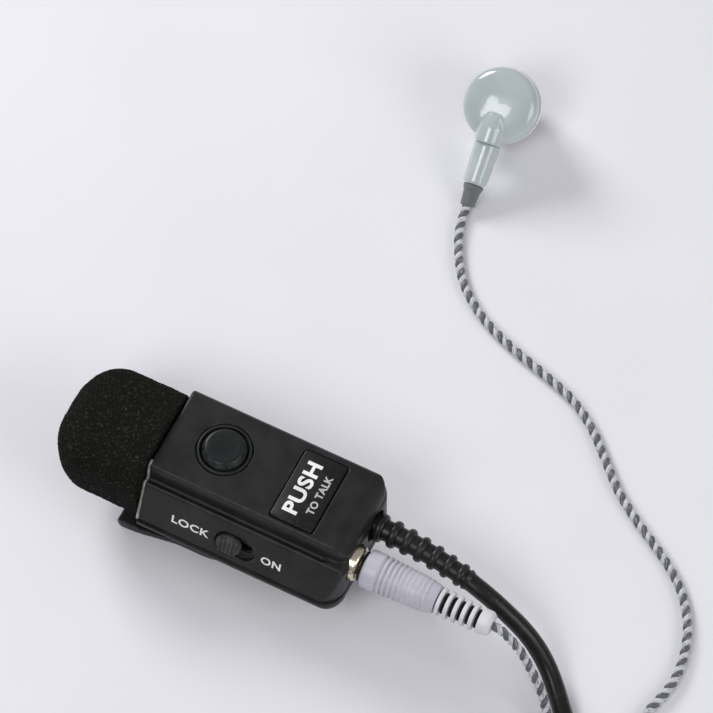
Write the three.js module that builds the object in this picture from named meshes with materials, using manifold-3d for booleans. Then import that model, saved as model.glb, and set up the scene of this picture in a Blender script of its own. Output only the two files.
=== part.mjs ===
// Clip-on push-to-talk microphone with its cable, radio plug and earphone.
//
// Millimetres, +Z up. The microphone lies on its clip: +X runs along it towards the cable, -X towards
// the foam windscreen, -Y towards the lock switch. The origin is under the middle of the housing, on
// the surface that the clip rests on.

import * as THREE from 'three';
import { mergeVertices } from 'three/addons/utils/BufferGeometryUtils.js';
import Module from 'manifold-3d';

const wasm = await Module();
wasm.setup();

// ---------------------------------------------------------------- driving dimensions

const GAP = 0.3; // clearance between pieces that touch on the real object

// Housing
const HALF_LENGTH = 20.4;
const HALF_WIDTH = 12;
const HOUSING_BOTTOM = 9;
const HOUSING_TOP = 23;
const COVER_THICKNESS = 1.8;
const WALL = 1.4;
const BLOCK_EDGE_Y = -6; // where the raised block ends and the groove begins
const AXIS_Z = (HOUSING_BOTTOM + HOUSING_TOP) / 2;
const CABLE_END_FILLET = 3.6;
const PLAN_CORNER = 3.4;
const FRONT_CORNER = 0.7;

// Push-to-talk button
const PTT = { x: -9.5, y: 3 };
const PTT_CAP_RADIUS = 4.2;
const PTT_TOP = 24.4;
const PTT_TRAVEL = 0.7;
const BEZEL_RADIUS = 5.15;
const BEZEL_INNER = 4.55;

// Lock switch, on the sloped side face
const SWITCH_X = -0.8;
const SWITCH_SLOT_LENGTH = 8;
const SWITCH_SLOT_WIDTH = 4.8;
const SWITCH_TRAVEL = 2.4;
const SIDE_FACE_TOP = { y: -8.3, z: 19.4 };
const SIDE_FACE_BOTTOM = { y: -12, z: 9.8 };

// Label plate
const LABEL = { x: 8, y: 2.5, length: 8.7, width: 15, thickness: 0.8 };

// Foam windscreen and the neck under it
const FOAM_LENGTH = 20 - GAP;
const FOAM_HALF_WIDTH = 11.5;
const FOAM_HALF_HEIGHT = 8.7;
const NECK_LENGTH = 13;
const NECK_HALF_WIDTH = 7.2;
const NECK_HALF_HEIGHT = 5.2;
const CAPSULE_RADIUS = 3;

// Cable outlet and jack
const CABLE_Y = 4.9;
const CABLE_RADIUS = 1.75;
const RELIEF_LENGTH = 20;
const RELIEF_RADIUS = 2.95;
const RELIEF_RIBS = 7;
const RELIEF_DROOP = { y: 1.5, z: 1.8 }; // how far its free end hangs aside and down
const JACK_Y = -3.4;
const JACK_COLLAR_RADIUS = 3.4;
const PLUG_BODY_START = HALF_LENGTH + 2.2;
const PLUG_BODY_LENGTH = 14.6;
const PLUG_BODY_RADIUS = 3.8;
const PLUG_RELIEF_LENGTH = 11;
const CORD_RADIUS = 1;

// Clip
const PIN = { x: -10.9, z: 3.7, radius: 0.9 };
const CLIP_PLATE_BOTTOM = 5.4;
const CLIP_PLATE_TOP = 7;
const CLIP_LEVER_X = -25.4;
const CLIP_JAW_X = 14.6;
const CLIP_LEVER_HALF_WIDTH = 8.5;
const CLIP_JAW_HALF_WIDTH = 6;
const RIVET_X = -5.4;
const RIVET_HOLE_RADIUS = 1.8;

// Stored lengths: round coils and the plug at the end
const CABLE_COIL = { x: 69.1, y: -46.6, radius: 20, half_width: 5.25, height: 10.5 };
const CORD_COIL = { x: 93.9, y: -16, radius: 11, half_width: 2, height: 4 };
const RADIO_PLUG_HEADING = -Math.PI + Math.atan2(0.454, 0.891);
const RADIO_PLUG_START = { x: 24.6, y: -53.5, z: 4.2 };

// Earphone: centre of the round body and the way its cap and stem point
const EARPHONE = { x: 0.3, y: 98.3, z: 10.35 };
const STEM_DIP = THREE.MathUtils.degToRad(32);
const STEM_HEADING = THREE.MathUtils.degToRad(-85);

// Free lengths that are not coiled, centre line, starting straight out of what they leave
const CABLE_ROUTE = [
  [41.1, 3.2, 14.1], [43.2, 2.9, 13.5], [46.0, 2.5, 12.3], [49.0, 2.1, 10.5], [52.3, 1.6, 8.3],
  [55.6, 0.5, 6.1], [58.8, -1.4, 4.1], [61.6, -3.9, 2.7], [64.0, -6.5, 2.0], [66.0, -8.7, 1.8],
  [69.5, -12.2, 1.8], [73.2, -15.9, 1.8], [77.1, -19.5, 1.8], [80.8, -23.3, 1.8], [84.5, -27.5, 1.8],
  [87.8, -32.0, 1.8], [90.0, -35.9, 1.8],
];
const CABLE_TAIL_ROUTE = [
  [48.2, -57.3, 8.7], [46.0, -53.3, 8.5], [43.0, -50.4, 7.7], [38.8, -48.8, 6.3], [34.4, -49.0, 5.1],
  [30.7, -50.5, 4.5], [27.5, -52.1, 4.2], [24.9, -53.4, 4.2],
];
const CORD_ROUTE = [
  [48.8, -3.4, 16.0], [50.4, -3.5, 15.6], [52.2, -3.8, 14.3], [54.3, -4.1, 12.2], [57.0, -5.2, 9.1],
  [59.8, -6.7, 6.0], [62.0, -8.8, 3.6], [63.0, -10.4, 2.2], [64.8, -12.7, 1.7], [67.1, -14.2, 3.0],
  [70.0, -14.9, 4.9], [73.1, -14.9, 4.9], [76.4, -15.1, 3.6], [79.3, -16.3, 1.9], [81.5, -18.5, 1.1],
  [83.2, -21.5, 1.1],
];
const CORD_RETURN_ROUTE = [
  [88.5, -5.3, 3.1], [85.4, -6.8, 2.6], [82.1, -7.0, 1.6], [79.4, -5.4, 1.1], [78.2, -2.7, 1.1],
  [78.3, 0.6, 1.1], [79.3, 4.4, 1.1], [79.9, 8.8, 1.1], [79.2, 13.8, 1.1], [77.4, 19.0, 1.1],
  [74.2, 23.9, 1.1], [69.9, 27.9, 1.1], [64.9, 31.2, 1.1], [59.4, 34.5, 1.1], [53.7, 38.6, 1.1],
  [48.5, 43.6, 1.1], [43.8, 48.0, 1.1], [38.0, 51.7, 1.1], [30.6, 54.2, 1.1], [22.6, 56.6, 1.1],
  [15.0, 59.9, 1.1], [8.9, 64.6, 1.1], [4.9, 70.4, 1.1], [2.8, 75.2, 1.1], [2.0, 79.1, 1.1],
];

// ---------------------------------------------------------------- solids

/** A closed geometry as a manifold solid. */
function solid(geometry) {
  const bare = geometry.clone();
  bare.deleteAttribute('normal');
  bare.deleteAttribute('uv');
  const merged = mergeVertices(bare, 1e-4);
  return new wasm.Manifold(new wasm.Mesh({
    numProp: 3,
    vertProperties: new Float32Array(merged.attributes.position.array),
    triVerts: new Uint32Array(merged.index.array),
  }));
}

/** A manifold solid as a three.js geometry. */
function geometryOf(manifold) {
  const mesh = manifold.getMesh();
  const geometry = new THREE.BufferGeometry();
  geometry.setAttribute('position', new THREE.BufferAttribute(mesh.vertProperties, 3));
  geometry.setIndex(new THREE.BufferAttribute(mesh.triVerts, 1));
  geometry.computeVertexNormals();
  return geometry;
}

/** The first solid less all the others. */
const cut = (body, ...tools) => tools.reduce((result, tool) => result.subtract(tool), body);

/** All the solids joined. */
const join = (...bodies) => bodies.reduce((result, body) => result.add(body));

/** A box between two corners. */
function box(low, high) {
  const size = high.map((value, axis) => value - low[axis]);
  const centre = high.map((value, axis) => (value + low[axis]) / 2);
  return solid(new THREE.BoxGeometry(...size).translate(...centre));
}

/** A cylinder along an axis ('x', 'y' or 'z') between two stations, centred on the other two. */
function rod(axis, radius, from, to, across, segments = 24, endRadius = radius) {
  const geometry = new THREE.CylinderGeometry(endRadius, radius, to - from, segments);
  geometry.translate(0, (to + from) / 2, 0);
  if (axis === 'x') geometry.rotateZ(-Math.PI / 2).translate(0, across[0], across[1]);
  if (axis === 'y') geometry.translate(across[0], 0, across[1]);
  if (axis === 'z') geometry.rotateX(Math.PI / 2).translate(across[0], across[1], 0);
  return solid(geometry);
}

/** A body turned about an axis: profile points are [radius, station]. */
function turned(axis, profile, across, segments = 24) {
  const geometry = new THREE.LatheGeometry(profile.map(([r, s]) => new THREE.Vector2(r, s)), segments);
  if (axis === 'x') geometry.rotateZ(-Math.PI / 2).translate(0, across[0], across[1]);
  if (axis === 'z') geometry.rotateX(Math.PI / 2).translate(across[0], across[1], 0);
  return outward(geometry);
}

/** A closed geometry as a solid, turned inside out first if its faces point inwards. */
function outward(geometry) {
  const body = solid(geometry);
  if (body.volume() > 0) return body;
  const flipped = geometry.toNonIndexed();
  const position = flipped.attributes.position;
  const corner = [new THREE.Vector3(), new THREE.Vector3()];
  for (let first = 0; first < position.count; first += 3) {
    corner[0].fromBufferAttribute(position, first + 1);
    corner[1].fromBufferAttribute(position, first + 2);
    position.setXYZ(first + 1, ...corner[1]);
    position.setXYZ(first + 2, ...corner[0]);
  }
  return solid(flipped);
}

/** A shape extruded along +Z from its own plane, without bevels. */
function slab(shape, thickness, curveSegments = 3) {
  return new THREE.ExtrudeGeometry(shape, { depth: thickness, bevelEnabled: false, curveSegments });
}

/** A rectangle with four corner radii: high-high, low-high, low-low and high-low. */
function roundedRectangle(x0, y0, x1, y1, [hh, lh, ll, hl]) {
  const shape = new THREE.Shape();
  shape.moveTo(x1, y1 - hh);
  shape.absarc(x1 - hh, y1 - hh, hh, 0, Math.PI / 2);
  shape.absarc(x0 + lh, y1 - lh, lh, Math.PI / 2, Math.PI);
  shape.absarc(x0 + ll, y0 + ll, ll, Math.PI, 1.5 * Math.PI);
  shape.absarc(x1 - hl, y0 + hl, hl, 1.5 * Math.PI, 2 * Math.PI);
  return shape;
}

/** A plan outline (x, y) standing between two heights. */
const standing = (shape, low, high) => solid(slab(shape, high - low).translate(0, 0, low));

/** A side outline drawn as (x, z), running across from y0 to y1. */
function acrossY(shape, y0, y1) {
  return solid(slab(shape, y1 - y0).rotateX(Math.PI / 2).translate(0, y1, 0));
}

/** An end outline drawn as (y, z), running along from x0 to x1. */
function alongX(shape, x0, x1) {
  const turn = new THREE.Matrix4().set(0, 0, 1, x0, 1, 0, 0, 0, 0, 1, 0, 0, 0, 0, 0, 1);
  return solid(slab(shape, x1 - x0).applyMatrix4(turn));
}

/** A plain tube of a free cord along its route. */
function tube(route, radius, steps) {
  const curve = new THREE.CatmullRomCurve3(route.map((point) => new THREE.Vector3(...point)));
  const section = new THREE.Shape();
  section.absarc(0, 0, radius, 0, 2 * Math.PI);
  return solid(new THREE.ExtrudeGeometry(section, { extrudePath: curve, steps, curveSegments: 4 }));
}

/** A ring of rectangular section with clipped corners, the outer shape of a round coil. */
function coilRing({ x, y, radius, half_width, height }, grow = 0) {
  const clip = 0.8;
  const inner = radius - half_width - grow;
  const outer = radius + half_width + grow;
  const low = 0.05 - grow;
  const high = height + grow;
  return turned('z', [
    [inner + clip, low], [outer - clip, low], [outer, low + clip], [outer, high - clip],
    [outer - clip, high], [inner + clip, high], [inner, high - clip], [inner, low + clip],
    [inner + clip, low],
  ], [x, y], 32);
}

/** The band of a tie around a coil's section, at an angle round the coil. */
function coilTie({ x, y, radius, half_width, height }, angle, width) {
  const band = 0.6;
  const inner = radius - half_width - GAP;
  const outer = radius + half_width + GAP;
  const top = height + GAP;
  const section = roundedRectangle(inner - band, 0.05, outer + band, top + band, [1, 1, 0.1, 0.1]);
  const hole = roundedRectangle(inner, -1, outer, top, [0.8, 0.8, 0.1, 0.1]);
  const loop = cut(acrossY(section, -width / 2, width / 2), acrossY(hole, -width, width));
  return loop.rotate([0, 0, THREE.MathUtils.radToDeg(angle)]).translate([x, y, 0]);
}

// ---------------------------------------------------------------- the assembly

const group = new THREE.Group();

/** Add a named piece with its own material to a group. */
function piece(name, body, [color, roughness, metalness = 0], parent = group) {
  const geometry = body instanceof THREE.BufferGeometry ? body : geometryOf(body);
  const mesh = new THREE.Mesh(geometry, new THREE.MeshStandardMaterial({ color, roughness, metalness }));
  mesh.name = name;
  parent.add(mesh);
}

const BLACK_PLASTIC = ['#2b2d2c', 0.5];
const BLACK_GLOSS = ['#1c1d1e', 0.3];
const BLACK_RUBBER = ['#1d1c1c', 0.7];
const DARK_FOAM = ['#2c2c2a', 0.95];
const STEEL = ['#b9bbbd', 0.3, 1];
const GOLD = ['#d6c29a', 0.25, 1];
const BOARD = ['#1f5a35', 0.6];
const GREY_PLASTIC = ['#c9cad0', 0.45];
const BLUE_GREY = ['#9fa8ad', 0.25];
const WHITE_PLASTIC = ['#e8e8e6', 0.35];
const TWISTED_CORD = ['#a9adb0', 0.6];
const GREY_RUBBER = ['#5b5f63', 0.7];

// Housing: three outlines that meet in one moulded body

/** The end outline of the housing, drawn inwards by an offset: raised block, groove, sloped side. */
function housingSection(inset, bottom) {
  const right = HALF_WIDTH - inset;
  const top = HOUSING_TOP - inset;
  const slope = (SIDE_FACE_TOP.y - SIDE_FACE_BOTTOM.y) / (SIDE_FACE_TOP.z - SIDE_FACE_BOTTOM.z);
  const sideFoot = SIDE_FACE_BOTTOM.y + (bottom - SIDE_FACE_BOTTOM.z) * slope + inset;
  const blockEdge = BLOCK_EDGE_Y + inset;
  const edge = 0.6;
  const shape = new THREE.Shape();
  shape.moveTo(Math.max(sideFoot, -HALF_WIDTH), bottom);
  shape.lineTo(right, bottom);
  shape.lineTo(right, top - 1.6);
  shape.absarc(right - 1.6, top - 1.6, 1.6, 0, Math.PI / 2);
  shape.lineTo(blockEdge + edge, top);
  shape.quadraticCurveTo(blockEdge, top, blockEdge - 0.1, top - edge);
  shape.quadraticCurveTo(
    blockEdge - 0.3, SIDE_FACE_TOP.z + 0.6 - inset,
    SIDE_FACE_TOP.y + 0.9 + inset, SIDE_FACE_TOP.z + 0.45 - inset,
  );
  shape.quadraticCurveTo(
    SIDE_FACE_TOP.y + 0.15 + inset, SIDE_FACE_TOP.z + 0.3 - inset,
    SIDE_FACE_TOP.y - 0.1 + inset, SIDE_FACE_TOP.z - 0.4 - inset,
  );
  return shape;
}

/** The side outline of the housing (x, z), with the long fillet over the cable end. */
function housingProfile(inset, bottom) {
  const end = HALF_LENGTH - inset;
  const fillet = Math.max(CABLE_END_FILLET - inset, 0.5);
  return roundedRectangle(-end, bottom, end, HOUSING_TOP - inset, [fillet, 0.5, 0.05, 0.05]);
}

/** The plan outline of the housing (x, y). */
function housingPlan(inset) {
  const corner = Math.max(PLAN_CORNER - inset, 0.5);
  return roundedRectangle(
    -HALF_LENGTH + inset, -HALF_WIDTH + inset, HALF_LENGTH - inset, HALF_WIDTH - inset,
    [corner, FRONT_CORNER, FRONT_CORNER, corner],
  );
}

/** The whole moulded form, drawn inwards by an offset and ending at a lower height. */
function housingForm(inset, bottom) {
  return alongX(housingSection(inset, bottom), -HALF_LENGTH - 1, HALF_LENGTH + 1)
    .intersect(acrossY(housingProfile(inset, bottom), -HALF_WIDTH - 1, HALF_WIDTH + 1))
    .intersect(standing(housingPlan(inset), bottom - 1, HOUSING_TOP + 1));
}

const COVER_TOP = HOUSING_BOTTOM + COVER_THICKNESS;
const SHELL_BOTTOM = COVER_TOP + GAP;
const SIDE_TILT = Math.atan2(
  SIDE_FACE_TOP.z - SIDE_FACE_BOTTOM.z, SIDE_FACE_TOP.y - SIDE_FACE_BOTTOM.y,
) - Math.PI / 2; // lean of the side face from upright, negative towards +Y
const SIDE_MIDDLE = {
  y: (SIDE_FACE_TOP.y + SIDE_FACE_BOTTOM.y) / 2,
  z: (SIDE_FACE_TOP.z + SIDE_FACE_BOTTOM.z) / 2 + 0.2,
};
const SCREWS = [[-16.2, 8], [-16.2, -6.2], [11.5, 8]];
const BOSS_RADIUS = 1.9;
const SCREW_RADIUS = 0.8;

/** Stand a piece drawn on (x, up the side face) with its depth along the outward normal. */
function onSideFace(geometry) {
  return geometry
    .rotateX(Math.PI / 2)
    .rotateX(SIDE_TILT)
    .translate(SWITCH_X, SIDE_MIDDLE.y, SIDE_MIDDLE.z);
}

/** A stadium outline centred on a point along x. */
function stadium(centre, length, width) {
  const radius = width / 2;
  return roundedRectangle(
    centre - length / 2, -radius, centre + length / 2, radius, Array(4).fill(radius - 0.001),
  );
}

/** A stadium block on the side face, from one height above the face to another. */
function sideBlock(centre, length, width, low, high) {
  return solid(onSideFace(slab(stadium(centre, length, width), high - low).translate(0, 0, low)));
}

const PILOT_TOP = 19.5;
const bosses = SCREWS.map((at) => rod('z', BOSS_RADIUS, SHELL_BOTTOM, HOUSING_TOP - 1, at, 16));
const pilotHoles = SCREWS.map((at) => rod('z', SCREW_RADIUS + GAP, SHELL_BOTTOM - 1, PILOT_TOP, at, 12));
const labelPocket = box(
  [LABEL.x - LABEL.length / 2 - 0.15, LABEL.y - LABEL.width / 2 - 0.15, HOUSING_TOP - LABEL.thickness],
  [LABEL.x + LABEL.length / 2 + 0.15, LABEL.y + LABEL.width / 2 + 0.15, HOUSING_TOP + 1],
);
const frontShell = cut(
  join(
    cut(housingForm(0, SHELL_BOTTOM), housingForm(WALL, SHELL_BOTTOM - 1)),
    ...bosses.map((boss) => boss.intersect(housingForm(0.4, SHELL_BOTTOM))),
  ),
  ...pilotHoles,
  labelPocket,
  rod('z', BEZEL_RADIUS + 0.15, HOUSING_TOP - 0.6, HOUSING_TOP + 1, [PTT.x, PTT.y], 32),
  rod('z', PTT_CAP_RADIUS + GAP, HOUSING_TOP - 3, HOUSING_TOP + 1, [PTT.x, PTT.y], 32),
  sideBlock(0, SWITCH_SLOT_LENGTH, SWITCH_SLOT_WIDTH, -0.9, 3),
  sideBlock(0, SWITCH_SLOT_LENGTH - 1.6, 2, -4, 1),
  rod('x', RELIEF_RADIUS + GAP, HALF_LENGTH - 3, HALF_LENGTH + 1, [CABLE_Y, AXIS_Z], 24),
  rod('x', JACK_COLLAR_RADIUS + GAP, HALF_LENGTH - 3, HALF_LENGTH + 1, [JACK_Y, AXIS_Z], 24),
  box([-HALF_LENGTH - 1, -5.6, AXIS_Z - 3.9], [-HALF_LENGTH + 3, 5.6, AXIS_Z + 3.9]),
);
piece('front_shell', frontShell, BLACK_PLASTIC);

const SCREW_HEAD_RADIUS = 1.4;
const coverHoles = SCREWS.map(([x, y]) => join(
  rod('z', SCREW_RADIUS + GAP, HOUSING_BOTTOM - 1, COVER_TOP + 1, [x, y], 12),
  rod('z', SCREW_HEAD_RADIUS + GAP, HOUSING_BOTTOM - 1, HOUSING_BOTTOM + 0.9, [x, y], 16),
));
const coverEnd = roundedRectangle(
  -HALF_WIDTH, HOUSING_BOTTOM, HALF_WIDTH, COVER_TOP, [0.05, 0.05, 1.2, 1.2],
);
piece('back_cover', cut(
  standing(housingPlan(0), HOUSING_BOTTOM, COVER_TOP)
    .intersect(alongX(coverEnd, -HALF_LENGTH - 1, HALF_LENGTH + 1)),
  rod('z', RIVET_HOLE_RADIUS, HOUSING_BOTTOM - 1, COVER_TOP + 1, [RIVET_X, 0], 20),
  ...coverHoles,
), BLACK_PLASTIC);

SCREWS.forEach(([x, y], index) => {
  const recess = box([x - 1, y - 0.2, HOUSING_BOTTOM - 1], [x + 1, y + 0.2, HOUSING_BOTTOM + 0.45]);
  const cross = box([x - 0.2, y - 1, HOUSING_BOTTOM - 1], [x + 0.2, y + 1, HOUSING_BOTTOM + 0.45]);
  const screw = turned('z', [
    [0, HOUSING_BOTTOM + 0.1], [SCREW_HEAD_RADIUS, HOUSING_BOTTOM + 0.1],
    [SCREW_HEAD_RADIUS, HOUSING_BOTTOM + 0.6], [SCREW_RADIUS, HOUSING_BOTTOM + 0.6],
    [SCREW_RADIUS, PILOT_TOP - 2], [0, PILOT_TOP - 1.3],
  ], [x, y], 16);
  piece(`shell_screw_${index + 1}`, cut(screw, recess, cross), STEEL);
});

piece('label_plate', standing(
  roundedRectangle(
    LABEL.x - LABEL.length / 2 + 0.1, LABEL.y - LABEL.width / 2 + 0.1,
    LABEL.x + LABEL.length / 2 - 0.1, LABEL.y + LABEL.width / 2 - 0.1, [0.4, 0.4, 0.4, 0.4],
  ), HOUSING_TOP - LABEL.thickness + 0.2, HOUSING_TOP + 0.15,
), BLACK_GLOSS);

// Push-to-talk button, its bezel and the switch under it

piece('button_bezel', turned('z', [
  [BEZEL_INNER, HOUSING_TOP - 0.4], [BEZEL_RADIUS - 0.05, HOUSING_TOP - 0.4],
  [BEZEL_RADIUS - 0.05, HOUSING_TOP + 0.15], [BEZEL_RADIUS - 0.35, HOUSING_TOP + 0.4],
  [BEZEL_INNER, HOUSING_TOP + 0.4], [BEZEL_INNER, HOUSING_TOP - 0.4],
], [PTT.x, PTT.y], 32), BLACK_PLASTIC);

const PLUNGER_TOP = 19.4;
const FLANGE_TOP = HOUSING_TOP - WALL - 0.4; // the flange that keeps the button in the shell
piece('ptt_button', turned('z', [
  [0, PLUNGER_TOP + GAP], [1.8, PLUNGER_TOP + GAP], [1.8, FLANGE_TOP - 0.6],
  [BEZEL_RADIUS, FLANGE_TOP - 0.6], [BEZEL_RADIUS, FLANGE_TOP], [PTT_CAP_RADIUS, FLANGE_TOP],
  [PTT_CAP_RADIUS, HOUSING_TOP + 0.75], [PTT_CAP_RADIUS - 0.75, PTT_TOP - 0.1],
  [PTT_CAP_RADIUS - 1.1, PTT_TOP], [0, PTT_TOP],
], [PTT.x, PTT.y], 32), BLACK_PLASTIC);

const BOARD_LOW = 12.6;
const BOARD_TOP = 13.8;
piece('circuit_board', box([-13.7, -8.2, BOARD_LOW], [5.6, 9.6, BOARD_TOP]), BOARD);

const TACT_LOW = BOARD_TOP + GAP;
const TACT_TOP = 17.4;
const PLUNGER_BOTTOM = TACT_TOP - 0.8;
piece('tact_switch_body', cut(
  box([PTT.x - 3, PTT.y - 3, TACT_LOW], [PTT.x + 3, PTT.y + 3, TACT_TOP]),
  rod('z', 1.8, PLUNGER_BOTTOM - PTT_TRAVEL - GAP, TACT_TOP + 1, [PTT.x, PTT.y], 16),
), BLACK_GLOSS);
piece('tact_switch_plunger', rod(
  'z', 1.5, PLUNGER_BOTTOM, PLUNGER_TOP, [PTT.x, PTT.y], 16,
), BLACK_GLOSS);

// Lock switch: ribbed knob in the recess, actuator through the slot, switch body behind

const KNOB_CENTRE = -SWITCH_TRAVEL / 2;
const KNOB_LENGTH = SWITCH_SLOT_LENGTH - SWITCH_TRAVEL - 2 * GAP;
const KNOB_WIDTH = SWITCH_SLOT_WIDTH - 2 * GAP;
const KNOB_TOP = 0.7;
const RIDGE_PITCH = 0.8;
const ridgeCuts = [-2, -1, 0, 1, 2].map((ridge) => solid(onSideFace(
  new THREE.BoxGeometry(0.35, SWITCH_SLOT_WIDTH, 0.8)
    .translate(KNOB_CENTRE + ridge * RIDGE_PITCH, 0, KNOB_TOP),
)));
piece('lock_knob', cut(
  sideBlock(KNOB_CENTRE, KNOB_LENGTH, KNOB_WIDTH, -0.6, KNOB_TOP), ...ridgeCuts,
), ['#4a4c4e', 0.5]);
const ACTUATOR_X = SWITCH_X + KNOB_CENTRE;
piece('slide_switch_actuator', box(
  [ACTUATOR_X - 0.8, -9.1, BOARD_TOP + 0.35], [ACTUATOR_X + 0.8, -6.5, BOARD_TOP + 1.25],
), WHITE_PLASTIC);
piece('slide_switch_body', box(
  [SWITCH_X - 4.2, -6.2, BOARD_TOP + GAP], [SWITCH_X + 4.2, -3.4, 17.4],
), STEEL);

// Microphone neck, capsule and foam

const neckSection = (halfWidth, halfHeight, corner) => roundedRectangle(
  -halfWidth, AXIS_Z - halfHeight, halfWidth, AXIS_Z + halfHeight, Array(4).fill(corner),
);
const NECK_FRONT = -HALF_LENGTH - NECK_LENGTH;
const NECK_WALL = 1.1;
const neckSlots = [-5, -8.5, -12].flatMap((offset) => [
  box(
    [-HALF_LENGTH + offset, -4.5, AXIS_Z - NECK_HALF_HEIGHT - 1],
    [-HALF_LENGTH + offset + 1.8, 4.5, AXIS_Z + NECK_HALF_HEIGHT + 1],
  ),
]);
const neckFlange = alongX(neckSection(5.3, 3.6, 0.8), -HALF_LENGTH - GAP - 0.05, -HALF_LENGTH + 3);
piece('windscreen_cage', cut(
  join(
    alongX(neckSection(NECK_HALF_WIDTH, NECK_HALF_HEIGHT, 3), NECK_FRONT, -HALF_LENGTH - GAP),
    neckFlange,
  ),
  alongX(
    neckSection(NECK_HALF_WIDTH - NECK_WALL, NECK_HALF_HEIGHT - NECK_WALL, 2),
    NECK_FRONT + NECK_WALL, -HALF_LENGTH - 1.4,
  ),
  alongX(neckSection(3.2, 2.2, 0.8), NECK_FRONT + 3, -HALF_LENGTH + 4),
  ...neckSlots,
), BLACK_PLASTIC);

const CAPSULE_X = NECK_FRONT + 2;
const BOOT_INNER = CAPSULE_RADIUS + GAP / 2;
const BOOT_OUTER = BOOT_INNER + 0.8;
piece('capsule_boot', turned('x', [
  [BOOT_INNER, CAPSULE_X + 0.2], [BOOT_OUTER, CAPSULE_X + 0.2], [BOOT_OUTER, CAPSULE_X + 6],
  [1.2, CAPSULE_X + 6], [1.2, CAPSULE_X + 5.2], [BOOT_INNER, CAPSULE_X + 5.2],
  [BOOT_INNER, CAPSULE_X + 0.2],
], [0, AXIS_Z], 24), BLACK_RUBBER);
piece('microphone_capsule', rod(
  'x', CAPSULE_RADIUS - 0.05, CAPSULE_X, CAPSULE_X + 4.8, [0, AXIS_Z], 24,
), STEEL);

/** The foam cap: rounded-box rings that shrink along a quarter ellipse to a domed end. */
function foamForm() {
  const rings = 7;
  const around = 32;
  const dome = 8.5;
  const bodyStart = -HALF_LENGTH - GAP;
  const tip = bodyStart - FOAM_LENGTH;
  const points = [];
  const stations = [[bodyStart, 0.985], [bodyStart - 1.2, 1]];
  for (let ring = 0; ring <= rings; ring += 1) {
    const turn = (ring / rings) * Math.PI / 2 * 0.93;
    stations.push([tip + dome * (1 - Math.sin(turn)), Math.cos(turn) ** 0.8]);
  }
  const power = 2 / 3.4;
  for (const [x, scale] of stations) {
    for (let index = 0; index < around; index += 1) {
      const angle = (index / around) * 2 * Math.PI;
      const c = Math.cos(angle);
      const s = Math.sin(angle);
      points.push(new THREE.Vector3(
        x,
        FOAM_HALF_WIDTH * scale * Math.sign(c) * Math.abs(c) ** power,
        AXIS_Z + FOAM_HALF_HEIGHT * scale * Math.sign(s) * Math.abs(s) ** power,
      ));
    }
  }
  const centres = [new THREE.Vector3(bodyStart, 0, AXIS_Z), new THREE.Vector3(tip, 0, AXIS_Z)];
  const geometry = new THREE.BufferGeometry().setFromPoints([...points, ...centres]);
  const index = [];
  const last = stations.length - 1;
  for (let i = 0; i < around; i += 1) {
    const j = (i + 1) % around;
    index.push(points.length, i, j, points.length + 1, last * around + j, last * around + i);
    for (let ring = 0; ring < last; ring += 1) {
      const a = ring * around;
      const b = a + around;
      index.push(a + i, b + i, a + j, a + j, b + i, b + j);
    }
  }
  geometry.setIndex(index);
  return geometry;
}
piece('foam_windscreen', cut(
  outward(foamForm()),
  alongX(neckSection(NECK_HALF_WIDTH + GAP, NECK_HALF_HEIGHT + GAP, 3), NECK_FRONT - 0.5, -HALF_LENGTH + 1),
), DARK_FOAM);

// Cable outlet and jack

/** The ribbed strain relief, straight along x before it is bent. */
function reliefProfile(length, ribs, root, tip, groove) {
  const profile = [[0, -GAP - 2.4], [root + 0.9, -GAP - 2.4], [root + 0.9, -GAP - WALL - 0.1]];
  profile.push([root - 0.4, -GAP - WALL - 0.1], [root - 0.4, 0.3]);
  const pitch = length / ribs;
  for (let rib = 0; rib < ribs; rib += 1) {
    const start = 0.3 + rib * pitch;
    const radius = root + (tip - root) * (rib / (ribs - 1));
    profile.push([radius, start], [radius, start + pitch * 0.55]);
    profile.push([radius - groove, start + pitch * 0.65], [radius - groove, start + pitch * 0.98]);
  }
  profile.push([0, length]);
  return profile;
}

/** Bend a piece that lies along x from the housing's end down and aside, as the cable's pull does. */
function droop(geometry) {
  const position = geometry.attributes.position;
  for (let index = 0; index < position.count; index += 1) {
    const along = Math.max(position.getX(index) - HALF_LENGTH, 0);
    const bend = (along / RELIEF_LENGTH) ** 2;
    position.setZ(index, position.getZ(index) - RELIEF_DROOP.z * bend);
    position.setY(index, position.getY(index) - RELIEF_DROOP.y * bend);
  }
  return geometry;
}
const relief = turned('x', reliefProfile(RELIEF_LENGTH, RELIEF_RIBS, RELIEF_RADIUS, 2.55, 0.7)
  .map(([r, s]) => [r, s + HALF_LENGTH]), [CABLE_Y, AXIS_Z], 16);
piece('cable_strain_relief', droop(geometryOf(relief)), BLACK_RUBBER);

piece('jack_socket', cut(
  box([6.2, JACK_Y - 2.3, AXIS_Z - 2.8], [HALF_LENGTH - WALL - GAP, JACK_Y + 2.6, AXIS_Z + 2.3]),
  rod('x', 1.95, 7.2, HALF_LENGTH, [JACK_Y, AXIS_Z], 20),
), BLACK_GLOSS);
piece('jack_collar', turned('x', [
  [2.1, HALF_LENGTH - WALL + 0.05], [JACK_COLLAR_RADIUS, HALF_LENGTH - WALL + 0.05],
  [JACK_COLLAR_RADIUS, HALF_LENGTH + 0.9], [JACK_COLLAR_RADIUS - 0.3, HALF_LENGTH + 1.2],
  [2.1, HALF_LENGTH + 1.2], [2.1, HALF_LENGTH - WALL + 0.05],
], [JACK_Y, AXIS_Z], 20), STEEL);

// Clip: the upper arm turns under the housing, the lower arm is the sprung jaw

/** A plan outline with two like halves, from its -Y half drawn towards +X. */
function mirroredPlan(half) {
  const other = half.map(([x, y]) => [x, -y]).reverse();
  return new THREE.Shape([...half, ...other].map(([x, y]) => new THREE.Vector2(x, y)));
}

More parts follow.
